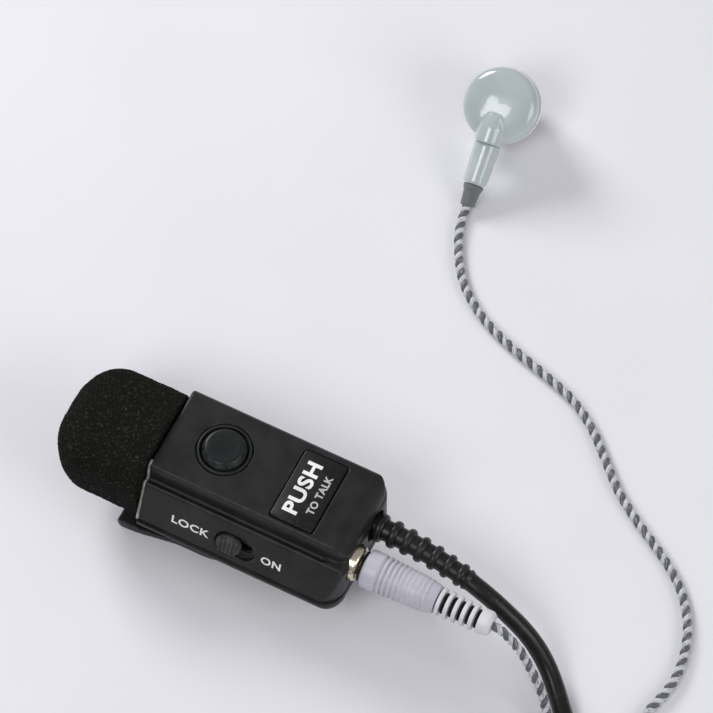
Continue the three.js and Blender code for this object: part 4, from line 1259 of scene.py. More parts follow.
@dataclass
class EarphoneCord:
    """The earphone's twisted pair: from its plug, coiled and tied, and back to the earphone.

    The route's lengths are in metres.
    """

    diameter: float = 0.0020
    exit: Point3 = (0.0482, -0.0034, 0.0160)
    route: Sequence[Point3] = (
        (0.0476, -0.0034, 0.0160), (0.0488, -0.0034, 0.0160), (0.0504, -0.0035, 0.0156),
        (0.0522, -0.0038, 0.0143), (0.0543, -0.0041, 0.0122), (0.0570, -0.0052, 0.0091),
        (0.0598, -0.0067, 0.0060), (0.0620, -0.0088, 0.0036), (0.0630, -0.0104, 0.0022),
        (0.0648, -0.0127, 0.0017), (0.0671, -0.0142, 0.0030), (0.0700, -0.0149, 0.0049),
        (0.0731, -0.0149, 0.0049), (0.0764, -0.0151, 0.0036), (0.0793, -0.0163, 0.0019),
        (0.0815, -0.0185, 0.0011),
    )
    back: Sequence[Point3] = (
        (0.0854, -0.0068, 0.0026), (0.0821, -0.0070, 0.0016), (0.0794, -0.0054, 0.0011),
        (0.0782, -0.0027, 0.0011), (0.0783, 0.0006, 0.0011), (0.0793, 0.0044, 0.0011),
        (0.0799, 0.0088, 0.0011), (0.0792, 0.0138, 0.0011), (0.0774, 0.0190, 0.0011),
        (0.0742, 0.0239, 0.0011), (0.0699, 0.0279, 0.0011), (0.0649, 0.0312, 0.0011),
        (0.0594, 0.0345, 0.0011), (0.0537, 0.0386, 0.0011), (0.0485, 0.0436, 0.0011),
        (0.0438, 0.0480, 0.0011), (0.0380, 0.0517, 0.0011), (0.0306, 0.0542, 0.0011),
        (0.0226, 0.0566, 0.0011), (0.0150, 0.0599, 0.0011), (0.0089, 0.0646, 0.0011),
        (0.0049, 0.0704, 0.0011), (0.0028, 0.0752, 0.0011), (0.0020, 0.0791, 0.0011),
        (0.0018, 0.0808, 0.0017),
    )
    coil: CoilPlan = field(default_factory=lambda: CoilPlan(
        centre=(0.0939, -0.0160), entry=207.0, clockwise=False, count=3.75,
        turns=((0.0120, 0.0011), (0.0100, 0.0011), (0.0100, 0.0031), (0.0120, 0.0031)),
    ))
    packed_ends: Sequence[str] = ("earphone_plug_pin", "earphone_driver", "earphone_mesh")
    strand_radius: float = 0.00050
    strand_offset: float = 0.00042
    twist_pitch: float = 0.0026

    def build(self, end_pieces: Sequence[Piece]) -> None:
        wound = self.coil.path()
        before = smooth_route([*self.route, tuple(wound[0])])
        after = smooth_route([tuple(wound[-1]), *self.back])
        path = relaxed(resampled(np.vstack([before[:-1], wound, after[1:]]), 0.00027), 20)
        _, across, above = frames_along(path)
        travelled = travel(path)
        strands = []
        for index, finish in enumerate((PALE_STRAND, DARK_STRAND)):
            turn = 2 * math.pi * travelled / self.twist_pitch + index * math.pi
            offset = across * np.cos(turn)[:, None] + above * np.sin(turn)[:, None]
            line = path + self.strand_offset * offset
            strand = tube(f"strand_{index}", line, self.strand_radius, sides=8)
            strand.data.materials.append(finish.material())
            strands.append(strand)
        cord = joined("earphone_twisted_pair", strands)
        cord.data.shade_smooth()
        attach(cord, Body.MIC.value)
        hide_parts("earphone_cord", "earphone_cord_coil", "earphone_cord_return")
        tie = tie_band("cord_coil_strap", self.coil, -54, 1.5, 8.7, 13.3, 4.4)
        dress(tie, RUBBER, Body.MIC, "switch_black", "earphone_cord_tie", edges=False)


def finish_frame_nodes() -> None:
    """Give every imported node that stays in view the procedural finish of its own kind."""
    for name, finish in NODE_FINISHES.items():
        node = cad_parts[name]
        for index in range(len(node.material_slots)):
            node.material_slots[index].material = finish.material()


# ---- housing


def legend(
    name: str, words: str, height: float, span: float, place: Matrix, thickness: float = 0.05,
    weight: float = 0.02,
) -> Piece:
    """Raised lettering as a closed mesh.

    Args:
        name: The object's name.
        words: The letters.
        height: Cap height in millimetres.
        span: The word's whole width in millimetres.
        place: Its centre, reading direction and face, in millimetres.
        thickness: Half its thickness in millimetres.
        weight: How much bolder the strokes are drawn, in letter heights.

    Returns:
        The lettering at the origin.
    """
    curve = bpy.data.curves.new(name, "FONT")
    curve.body = words
    curve.size = 1.0
    curve.offset = weight
    curve.extrude = 0.5
    curve.resolution_u = 4
    curve.space_character = 1.08
    text = linked(name, curve)
    graph = bpy.context.evaluated_depsgraph_get()
    mesh = bpy.data.meshes.new_from_object(text.evaluated_get(graph), depsgraph=graph)
    remove(text)
    corners = np.array([vertex.co for vertex in mesh.vertices])
    low, high = corners.min(0), corners.max(0)
    size = high - low
    scale = Matrix.Diagonal((span / size[0], height / size[1], 2 * thickness / size[2], 1.0))
    centred = Matrix.Translation(Vector(-(low + high) / 2))
    mesh.transform(Matrix.Scale(MM, 4) @ place @ scale @ centred)
    made = linked(name, mesh)
    face_outwards(made)
    return made


@dataclass
class Housing:
    """The moulded shell with its label plate, printed legends and back cover."""

    half_length: float = 20.4
    half_width: float = 12.0
    bottom: float = 11.1
    top: float = 23.0
    axis: float = 16.0
    wall: float = 1.4
    tier_top: float = 19.65
    block_edge: float = -6.0
    end_fillet: float = 3.7
    crown_round: float = 1.7
    block_radii: Sequence[float] = (3.4, 0.6, 0.4, 2.6)
    side_top: Point2 = (-8.3, 19.4)
    side_foot: Point2 = (-11.5, 11.1)
    side_middle: Point2 = (-10.09, 14.75)
    corner_radii: Sequence[float] = (3.4, 0.6, 0.6, 4.3)
    switch_x: float = -0.8
    talk_button: Point2 = (-9.5, 3.0)
    label_centre: Point2 = (8.0, 2.5)
    label_half: Point2 = (4.25, 7.4)
    relief_y: float = 4.9
    jack_y: float = -3.4
    cover_span: Point2 = (9.0, 10.8)
    rivet_x: float = -5.4
    screws: Sequence[Point3] = ((-16.2, 8.0, 21.8), (-16.2, -6.2, 18.4), (11.5, 8.0, 21.8))

    def side_face(self, x: float, up: float = 0.0, out: float = 0.0) -> Matrix:
        """A frame on the sloped side: X along the housing, Y up the slope, Z outwards.

        Args:
            x: Its place along the housing in millimetres.
            up: How far up the slope from the middle it stands.
            out: How far outside the face it stands.

        Returns:
            The frame, in millimetres.
        """
        climb = Vector((0, self.side_top[0] - self.side_foot[0], self.side_top[1] - self.side_foot[1]))
        climb.normalize()
        normal = Vector((1, 0, 0)).cross(climb)
        middle = Vector((x, *self.side_middle)) + climb * up + normal * out
        frame_matrix = Matrix((Vector((1, 0, 0)), climb, normal)).transposed().to_4x4()
        return Matrix.Translation(middle) @ frame_matrix

    def tier(
        self, name: str, section: Sequence[Point2], inset: float, high: float, fillet: float,
        end: float, corners: Sequence[float],
    ) -> Piece:
        """One tier of the housing: an end outline trimmed to a side outline and a plan outline.

        Args:
            name: The object's name.
            section: Its outline seen from an end.
            inset: How far inside the outer form it is drawn.
            high: Its top.
            fillet: The round of its top edge towards the cable.
            end: Where the outer form ends towards the cable.
            corners: The outer plan's radii, in the order that arc_rectangle takes.

        Returns:
            The tier as a closed mesh.
        """
        half, wide = self.half_length, self.half_width
        body = prism(name, section, -half - 1, half + 1, Plane.YZ)
        front, back = -half + inset, end - inset
        profile = arc_rectangle((front, self.bottom - 2), (back, high), [fillet, 0.45, 0.05, 0.05], 14)
        lowest = min(point[0] for point in section)
        radii = [max(corner - inset, 0.3) for corner in corners]
        plan = arc_rectangle((front, lowest), (back, wide - inset), radii, 14)
        side = prism("side", profile, -wide - 3, wide + 3, Plane.XZ)
        above = prism("plan", plan, self.bottom - 3, high + 1, Plane.XY)
        return combined(body, [side, above], "INTERSECT")

    def form(self, inset: float) -> Piece:
        """The whole moulded form, drawn inwards by an inset in millimetres."""
        right, crown, step = self.half_width - inset, self.top - inset, self.tier_top - inset
        foot = (self.side_foot[0] + inset, self.bottom - (1.0 if inset else 0.0))
        shoulder = [
            (self.block_edge - 0.6, step), (self.side_top[0] + 0.95 + inset, step + 0.02),
            (self.side_top[0] + 0.35 + inset, step - 0.02),
            (self.side_top[0] + inset, self.side_top[1] - 0.25 - inset),
        ]
        lower = [
            foot, (right, foot[1]), (right, step - 0.5), (right - 0.5, step),
            *rounded(shoulder, 0.3, 3, closed=False),
        ]
        edge = self.block_edge + inset
        brow = [(edge + 3.0, crown), (edge, crown), (edge - 0.45, self.tier_top - 0.6)]
        upper = [
            (edge - 0.45, foot[1]), (right, foot[1]), (right, crown - self.crown_round),
            *quarter(right - self.crown_round, crown - self.crown_round, self.crown_round),
            *rounded(brow, 0.75, 5, closed=False),
        ]
        half = self.half_length
        base = self.tier("front_housing", lower, inset, step, 1.4, half, self.corner_radii)
        block = self.tier("block", upper, inset, crown, self.end_fillet, half - 0.35, self.block_radii)
        return combined(base, [block], "UNION")

    def recesses(self) -> list[Piece]:
        """What is sunk into the form: the groove, the button's well, the label's and the knob's beds."""
        groove = lathe(
            "groove", [(0, -22), (0.62, -22), (0.62, 16.0), (0, 17.2)],
            along_x(0, self.block_edge - 1.0, self.tier_top + 0.12), 24,
        )
        well = rod("well", 5.3, 22.35, 24, upright(*self.talk_button), 64)
        cx, cy = self.label_centre
        hx, hy = self.label_half
        bed = arc_rectangle((cx - hx - 0.2, cy - hy - 0.2), (cx + hx + 0.2, cy + hy + 0.2), [0.5] * 4)
        pocket = prism("pocket", bed, self.top - 0.75, self.top + 1, Plane.XY)
        oval = arc_rectangle((-4.05, -2.45), (4.05, 2.45), [2.44] * 4, 14)
        recess = stand(prism("recess", oval, -0.95, 3, Plane.XY), self.side_face(self.switch_x))
        return [groove, well, pocket, recess]

    def openings(self) -> list[Piece]:
        """What goes through the wall: pilots, the switch's slot, and button, cable, jack and neck holes."""
        pilots = [
            lathe("pilot", [(0, 9), (1.1, 9), (1.1, 18.0), (0, 18.6)], upright(x, y), 20)
            for x, y, _ in self.screws
        ]
        gap = arc_rectangle((-3.2, -1.0), (3.2, 1.0), [0.99] * 4, 8)
        slot = stand(prism("slot", gap, -4, 1, Plane.XY), self.side_face(self.switch_x))
        bore = rod("bore", 4.5, 19, 25, upright(*self.talk_button), 64)
        half = self.half_length
        outlet = rod("outlet", 3.2, half - 3, half + 2, along_x(0, self.relief_y, self.axis), 48)
        jack = rod("jack_hole", 3.65, half - 3, half + 2, along_x(0, self.jack_y, self.axis), 48)
        neck = arc_rectangle((-5.6, 12.1), (5.6, 19.9), [1.0] * 4)
        front = prism("front_hole", neck, -half - 2, -half + 3, Plane.YZ)
        return [*pilots, slot, bore, outlet, jack, front]

    def shell(self) -> None:
        """The shell: outer form with its recesses, softened, then hollowed and drilled."""
        shell = self.form(0.0)
        combined(shell, self.recesses(), "DIFFERENCE")
        moulded(shell, 0.2, 4, 0.42)
        combined(shell, [self.form(self.wall)], "DIFFERENCE")
        posts = [rod("post", 1.9, self.bottom, high, upright(x, y), 24) for x, y, high in self.screws]
        combined(shell, posts, "UNION")
        combined(shell, self.openings(), "DIFFERENCE")
        shell.name = "housing_shell"
        dress(shell, SHELL, Body.MIC, "shell_plastic", "front_shell", angle=38)

    def front_bead(self) -> None:
        """A moulded bead up the front edge that curls out of the groove onto the block, coloured light as a
        painted highlight.
        """
        top, foot, edge = self.side_top, self.side_foot, self.block_edge
        line = smooth_route([
            (0, foot[0] + 0.05, foot[1] + 0.3), (0, (foot[0] + top[0]) / 2, (foot[1] + top[1]) / 2),
            (0, top[0] + 0.02, top[1] - 0.45), (0, top[0] + 0.55, self.tier_top - 0.02),
            (0, edge - 1.15, self.tier_top - 0.35), (0, edge - 0.55, self.tier_top + 0.1),
            (0, edge - 0.22, self.top - 1.6), (0, edge + 0.3, self.top - 0.35),
            (0, edge + 1.3, self.top - 0.12),
        ], 8)
        line[:, 0] = -self.half_length + 0.12
        bead = tube("front_edge_bead", line * MM, 0.27 * MM, sides=12)
        # The bead's light finish paints the highlight along the front edge.
        dress(bead, SHELL_EDGE_HIGHLIGHT, Body.MIC, "shell_plastic", angle=60)

    def cover(self) -> None:
        """The back cover: a plate with rounded lower edges, a rivet hole and sunk screw holes."""
        half, wide = self.half_length, self.half_width
        plan = arc_rectangle((-half, -wide), (half, wide), self.corner_radii, 12)
        low, high = self.cover_span
        cover = prism("back_cover_plate", plan, low, high, Plane.XY)
        section = arc_rectangle((-wide, low), (wide, high), [0.1, 0.1, 1.3, 1.3], 8)
        combined(cover, [prism("section", section, -half - 1, half + 1, Plane.YZ)], "INTERSECT")
        holes = [rod("hole", 1.8, 8, 12, upright(self.rivet_x, 0), 32)]
        sunk = [(0, 8), (1.7, 8), (1.7, 9.9), (1.1, 9.9), (1.1, 12), (0, 12)]
        holes += [lathe("screw_hole", sunk, upright(x, y), 24) for x, y, _ in self.screws]
        combined(cover, holes, "DIFFERENCE")
        bevelled(cover, 0.12)
        dress(cover, SHELL, Body.MIC, "shell_plastic", "back_cover", edges=False)

    def label(self) -> None:
        """The label plate with generic lettering that reads along +Y."""
        cx, cy = self.label_centre
        hx, hy = self.label_half
        outline = arc_rectangle((cx - hx, cy - hy), (cx + hx, cy + hy), [0.5] * 4, 6)
        plate = prism("label_plate_face", outline, self.top - 0.6, self.top + 0.15, Plane.XY)
        bevelled(plate, 0.12)
        dress(plate, LABEL_BLACK, Body.MIC, "label_black", "label_plate")
        turn = Matrix.Rotation(math.pi / 2, 4, "Z")
        for name, words, height, span, across, ink in (
            ("label_word_push", "PUSH", 3.0, 11.0, -1.3, PRINT),
            ("label_word_talk", "TO TALK", 1.5, 8.4, 2.2, FAINT_PRINT),
        ):
            place = Matrix.Translation((cx + across, cy, self.top + 0.17)) @ turn
            word = legend(name, words, height, span, place, weight=0.03)
            dress(word, ink, Body.MIC, "label_black", edges=False)

    def side_legends(self) -> None:
        """The two generic switch legends, printed on the sloped side."""
        for name, words, span, x in (("legend_lock", "LOCK", 7.6, -9.9), ("legend_on", "ON", 4.0, 6.6)):
            word = legend(name, words, 1.75, span, self.side_face(x, out=-0.02), weight=0.02)
            dress(word, PRINT, Body.MIC, "label_black", edges=False)

    def build(self) -> None:
        """Make every piece of the housing."""
        self.shell()
        self.front_bead()
        self.cover()
        self.label()
        self.side_legends()


def quarter(x: float, z: float, radius: float, steps: int = 8) -> list[Point2]:
    """A quarter arc from the right to the top about a centre."""
    return [
        (x + radius * math.cos(turn), z + radius * math.sin(turn))
        for turn in np.linspace(0, math.pi / 2, steps + 1)
    ]


# ---- button and switch


@dataclass
class TalkButton:
    """The push-to-talk cap in its bezel."""

    centre: Point2 = (-9.5, 3.0)
    cap_radius: float = 4.2
    flange_radius: float = 5.15
    flange_top: float = 21.2
    top: float = 24.4

    def build(self) -> None:
        """Make the cap, with a shallow dish, and the bezel round it."""
        radius, top = self.cap_radius, self.top
        profile = rounded([
            (0, 19.7), (1.8, 19.7), (1.8, self.flange_top - 0.6),
            (self.flange_radius, self.flange_top - 0.6), (self.flange_radius, self.flange_top),
            (radius, self.flange_top), (radius, top - 1.15),
            (radius - 0.65, top - 0.08), (radius - 1.1, top), (1.6, top - 0.10), (0, top - 0.12),
        ], 0.22, 5, closed=False)
        cap = lathe("talk_button_cap", profile, upright(*self.centre), 96)
        dress(cap, BUTTON, Body.PTT, "button_plastic", "ptt_button", angle=40)
        collar = rounded(
            [(4.55, 22.55), (5.12, 22.55), (5.12, 23.0), (5.0, 23.2), (4.68, 23.25), (4.55, 23.15)], 0.10, 4
        )
        bezel = lathe("talk_button_collar", collar, upright(*self.centre), 96, ring=True)
        dress(bezel, SHELL, Body.MIC, "shell_plastic", "button_bezel", angle=50)


@dataclass
class LockSwitch:
    """The ribbed knob of the lock switch, at its lock end."""

    centre_offset: float = -1.2
    length: float = 5.0
    width: float = 4.2
    low: float = -0.6
    high: float = 0.55
    ridges: int = 5
    ridge_pitch: float = 0.8
    ridge_radius: float = 0.24

    def build(self, housing: Housing) -> None:
        """Make the knob and its ridges on the housing's side face."""
        place = housing.side_face(housing.switch_x + self.centre_offset)
        half, wide = self.length / 2, self.width / 2
        outline = arc_rectangle((-half, -wide), (half, wide), [wide - 0.01] * 4, 14)
        knob = prism("lock_switch_knob", outline, self.low, self.high, Plane.XY)
        bevelled(knob, 0.3, 4)
        ridges = grown(
            "ridges", ROW, KNOB, Count=self.ridges, Pitch=self.ridge_pitch * MM,
            Length=(self.width - 0.9) * MM, Radius=self.ridge_radius * MM,
        )
        stand(ridges, Matrix.Translation((0, 0, self.high)))
        combined(knob, [ridges], "UNION")
        stand(knob, place)
        dress(knob, KNOB, Body.LOCK, "knob_grey", "lock_knob", angle=35)


# ---- windscreen


@dataclass
class Windscreen:
    """The foam cap, open-celled, with a pocket for the microphone's neck."""

    start: float = -20.7
    length: float = 19.6
    half_width: float = 11.35
    half_height: float = 8.55
    dome: float = 8.5
    axis: float = 16.0
    squareness: float = 3.4
    cell: float = 0.55
    cell_depth: float = 0.16
    cell_wall: float = 0.35
    swell_depth: float = 0.10
    swell_scale: float = 0.21

    def build(self) -> None:
        """Make the foam, its cells and its pocket."""
        foam = self.block()
        even = foam.modifiers.new("even", "REMESH")
        even.mode = "VOXEL"
        even.voxel_size = 0.17 * MM
        soften = foam.modifiers.new("soften", "SMOOTH")
        soften.iterations = 4
        settle(foam)
        self.open_cells(foam)
        neck = arc_rectangle((-7.5, self.axis - 5.5), (7.5, self.axis + 5.5), [3.0] * 4)
        pocket = prism("pocket", neck, self.start - 13.2, self.start + 2, Plane.YZ)
        combined(foam, [pocket], "DIFFERENCE")
        foam.name = "foam_cap"
        dress(foam, FOAM, Body.WINDSCREEN, "foam", "foam_windscreen", angle=180, edges=False)

    def block(self) -> Piece:
        """The smooth form: rounded-box rings that close over a dome, with a rolled lip."""
        around, rings = 96, 40
        stations = [(self.start, 0.955), (self.start - 0.25, 0.985), (self.start - 0.8, 1.0)]
        tip = self.start - self.length
        for ring in range(rings):
            turn = ring / rings * math.pi / 2
            stations.append((tip + self.dome * (1 - math.sin(turn)), math.cos(turn) ** 0.8))
        points: list[Point3] = []
        power = 2 / self.squareness
        for x, scale in stations:
            for index in range(around):
                turn = 2 * math.pi * index / around
                c, s = math.cos(turn), math.sin(turn)
                points.append((
                    x, self.half_width * scale * math.copysign(abs(c) ** power, c),
                    self.axis + self.half_height * scale * math.copysign(abs(s) ** power, s),
                ))
        points += [(self.start, 0.0, self.axis), (tip, 0.0, self.axis)]
        near, far = len(points) - 2, len(points) - 1
        last = (len(stations) - 1) * around
        faces: list[tuple[int, ...]] = []
        for index in range(around):
            after = (index + 1) % around
            faces += [(near, index, after), (far, last + after, last + index)]
            for row in range(len(stations) - 1):
                a, b = row * around, (row + 1) * around
                faces.append((a + index, b + index, b + after, a + after))
        return new_object("foam", points, faces)

    def open_cells(self, foam: Piece) -> None:
        """Sink small cells into the surface with a fixed noise."""
        place, normal = vertex_arrays(foam.data)
        depths = np.zeros(len(place))
        for index, point in enumerate(place / (self.cell * MM)):
            near, second = noise.voronoi(Vector(point))[0][:2]
            swell = self.swell_depth * noise.noise(Vector(point * self.swell_scale))
            depths[index] = (second - near - self.cell_wall) * self.cell_depth + swell
        foam.data.vertices.foreach_set("co", (place + normal * depths[:, None] * MM).ravel())
        foam.data.update()


# ---- cable end


@dataclass
class CableOutlet:
    """The ribbed strain relief and the jack's ring at the housing's cable end."""

    start: float = 20.4
    length: float = 20.0
    y: float = 4.9
    axis: float = 16.0
    aside: float = 1.5
    down: float = 1.8
    ribs: int = 7
    first_radius: float = 2.95
    last_radius: float = 2.55
    root: float = -2.6
    stations: int = 120
    flange_end: float = -1.75
    flange_radius: float = 3.7
    lip: float = 0.9
    jack_y: float = -3.4

    def line(self, low: float, high: float, count: int = 40) -> np.ndarray:
        """The relief's bent centre line between two stations, in metres."""
        along = np.linspace(low, high, count)
        bend = (np.maximum(along, 0) / self.length) ** 2
        return np.column_stack([
            self.start + along, self.y - self.aside * bend, self.axis - self.down * bend
        ]) * MM

    def build(self) -> None:
        """Make the relief's core, its ribs and the jack's ring."""
        line = self.line(self.root, self.length, self.stations)
        along = np.linspace(self.root, self.length, self.stations)
        share = np.clip(along / self.length, 0, 1)
        past = along - self.length + self.lip
        lip = 2.15 - 0.35 * past / self.lip
        radius = np.where(along > self.length - self.lip, lip, 2.05 - 0.30 * share)
        radius = np.where(along < self.flange_end, self.flange_radius, radius)
        core = tube("cable_relief_core", line, radius * MM, sides=40)
        dress(core, RUBBER, Body.MIC, "black_rubber", "cable_strain_relief", angle=45)
        ribs = ribs_along(
            "cable_relief_ribs", RUBBER, self.line(1.1, self.length - 2.0), self.ribs,
            (self.first_radius, self.last_radius), 0.72, around=48, stretch=1.5,
        )
        dress(ribs, RUBBER, Body.MIC, "black_rubber", angle=50)
        collar = [(2.1, 19.05), (3.4, 19.05), (3.4, 21.25), (3.05, 21.6), (2.45, 21.6), (2.1, 21.3)]
        at = along_x(0, self.jack_y, self.axis)
        ring = lathe("jack_ring", rounded(collar, 0.15, 4), at, 64, ring=True)
        dress(ring, PALE_GOLD, Body.MIC, "steel", "jack_collar", angle=40)


# ---- clip


@dataclass
class Clip:
    """The swivel clip: upper arm, sprung lower arm, torsion spring."""

    pin: Point2 = (-10.9, 3.7)
    plate_low: float = 5.4
    plate_high: float = 7.0
    jaw_x: float = 14.6
    lever_x: float = -25.9
    lever_half: float = 8.5
    jaw_half: float = 6.0
    lever_end_half: float = 9.7
    rivet_x: float = -5.4
    tooth_stations: Sequence[float] = (13.9, 13.2, 12.5, 11.8, 11.1, 10.4)
    spring_radius: float = 1.28
    spring_half: float = 2.2
    spring_turns: float = 4.5
    spring_leg: float = 6.5

    def plan(self, half: Sequence[Point2]) -> list[Point2]:
        """A plan outline with two like halves and rounded corners."""
        other = [(x, -y) for x, y in reversed(half)]
        return rounded([*half, *other], 2.0, 8)

    def pin_axis(self) -> Matrix:
        """The frame whose Z runs along the pin."""
        return Matrix.Translation((self.pin[0], 0, self.pin[1])) @ Matrix.Rotation(-math.pi / 2, 4, "X")

    def ears(self, inner: float, outer: float, low: float, high: float, reach: float) -> list[Piece]:
        """A pair of lugs round the pin.

        Args:
            inner: How far from the middle a lug starts.
            outer: How far from the middle it ends.
            low: Its bottom.
            high: Its top.
            reach: Its half length, and the radius of its round end.

        Returns:
            The lugs and their round ends, as closed meshes.
        """
        x = self.pin[0]
        lugs = []
        for side in (-1, 1):
            y0, y1 = sorted((side * inner, side * outer))
            outline = [(x - reach, low), (x + reach, low), (x + reach, high), (x - reach, high)]
            lugs.append(prism("lug", outline, y0, y1, Plane.XZ))
            lugs.append(rod("boss", reach, y0, y1, self.pin_axis(), 32))
        return lugs

    def pin_hole(self) -> Piece:
        """The hole that the pin runs in."""
        return rod("pin_hole", 1.0, -12, 12, self.pin_axis(), 32)

    def upper_arm(self) -> None:
        """The plate under the housing, with teeth at the jaw and lugs for the pin."""
        jaw, lever = self.jaw_half, self.lever_half
        half = [
            (-17.5, -lever + 1), (-16.5, -lever), (-8, -lever + 0.3), (0, -jaw),
            (self.jaw_x - 2, -jaw + 0.4), (self.jaw_x, -jaw + 2),
        ]
        arm = prism("upper_arm", self.plan(half), self.plate_low, self.plate_high, Plane.XY)
        teeth = [(self.jaw_x - 0.05, self.plate_low + 0.4), (self.jaw_x - 0.05, 2.9)]
        teeth += [(x, 3.1 if index % 2 else 2.4) for index, x in enumerate(self.tooth_stations)]
        teeth.append((9.6, self.plate_low + 0.4))
        jaws = prism("teeth", teeth, -jaw + 2, jaw - 2, Plane.XZ)
        combined(arm, [jaws, *self.ears(4.4, 5.7, self.pin[1], self.plate_low + 0.3, 1.5)], "UNION")
        moulded(arm, 0.16, 3, 0.3)
        holes = [
            self.pin_hole(),
            rod("rivet_hole", 1.8, 0, 10, upright(self.rivet_x, 0), 32),
            rod("sink", 2.9, 4, 5.9, upright(self.rivet_x, 0), 32),
        ]
        combined(arm, holes, "DIFFERENCE")
        arm.name = "clip_plate"
        dress(arm, SHELL, Body.CLIP_BASE, "shell_plastic", "clip_upper_arm", angle=38)

    def lower_arm(self) -> None:
        """The lever and jaw: a curved side outline trimmed to a flared plan, with thumb ridges."""
        lever, jaw = self.lever_x, self.jaw_x
        side = [
            (lever + 0.6, 0.0), *bend((lever + 0.6, 0), (-18, 0.5), (-10, 0.55)),
            *bend((-10, 0.55), (0, 0.5), (6, 0)), (jaw - 1, 0), *bend((jaw - 1, 0), (jaw, 0.1), (jaw, 1.2)),
            *[(x, 1.4 if index % 2 else 2.1) for index, x in enumerate(self.tooth_stations)],
            (9.6, 1.5), *bend((9.6, 1.5), (0, 2), (-8, 1.9)), (-14, 1.9),
            *bend((-14, 1.9), (-20, 1.9), (lever + 0.4, 2.5)),
            *bend((lever + 0.4, 2.5), (lever - 0.6, 1.4), (lever + 0.6, 0))[:-1],
        ]
        side = list(dict.fromkeys(side))
        half = [
            (lever - 1, -self.lever_end_half), (-22, -self.lever_end_half), (-14, -self.lever_half),
            (-7, -self.lever_half), (1, -self.jaw_half), (jaw - 2, -self.jaw_half + 0.4),
            (jaw + 1, -self.jaw_half + 2),
        ]
        arm = prism("lower_arm", side, -10, 10, Plane.XZ)
        combined(arm, [prism("plan", self.plan(half), -1, 6, Plane.XY)], "INTERSECT")
        grips = grown(
            "grips", ROW, SHELL, Count=5, Pitch=1.3 * MM, Length=11.0 * MM, Radius=0.32 * MM,
            place=Matrix.Translation((-21.2 * MM, 0, 2.1 * MM)),
        )
        combined(arm, [*self.ears(6, 7.4, 1.2, self.pin[1], 1.4), grips], "UNION")
        moulded(arm, 0.16, 3, 0.3)
        combined(arm, [self.pin_hole()], "DIFFERENCE")
        arm.name = "clip_lever"
        dress(arm, SHELL, Body.CLIP_JAW, "shell_plastic", "clip_lower_arm", angle=38)

    def spring(self) -> None:
        """The torsion spring round the pin, with a leg along each arm."""
        steps = 260
        leg_share = 0.13
        line = []
        for t in np.linspace(0, 1, steps):
            wound = min(max((t - leg_share) / (1 - 2 * leg_share), 0), 1)
            turn = (2 * self.spring_turns * wound - 0.5) * math.pi
            reach = max(leg_share - t, t - 1 + leg_share, 0) / leg_share
            line.append((
                self.pin[0] + self.spring_radius * math.cos(turn) - self.spring_leg * reach,
                (2 * wound - 1) * self.spring_half, self.pin[1] + self.spring_radius * math.sin(turn),
            ))
        path = np.array(line) * MM
        wire = grown("clip_torsion_spring", WIRE, STEEL, path=path, Radius=0.3 * MM, Around=14)
        dress(wire, STEEL, Body.CLIP_BASE, "steel", "clip_spring", edges=False)
        wire.parent = None
        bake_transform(wire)

    def build(self) -> None:
        """Make every piece of the clip."""
        self.upper_arm()
        self.lower_arm()
        self.spring()


def bend(start: Point2, middle: Point2, end: Point2, steps: int = 10) -> list[Point2]:
    """The points of a quadratic curve after its start."""
    return [
        tuple(a * (1 - t) ** 2 + b * 2 * t * (1 - t) + c * t**2 for a, b, c in zip(start, middle, end))
        for t in np.linspace(0, 1, steps + 1)[1:]
    ]


# ---- plugs


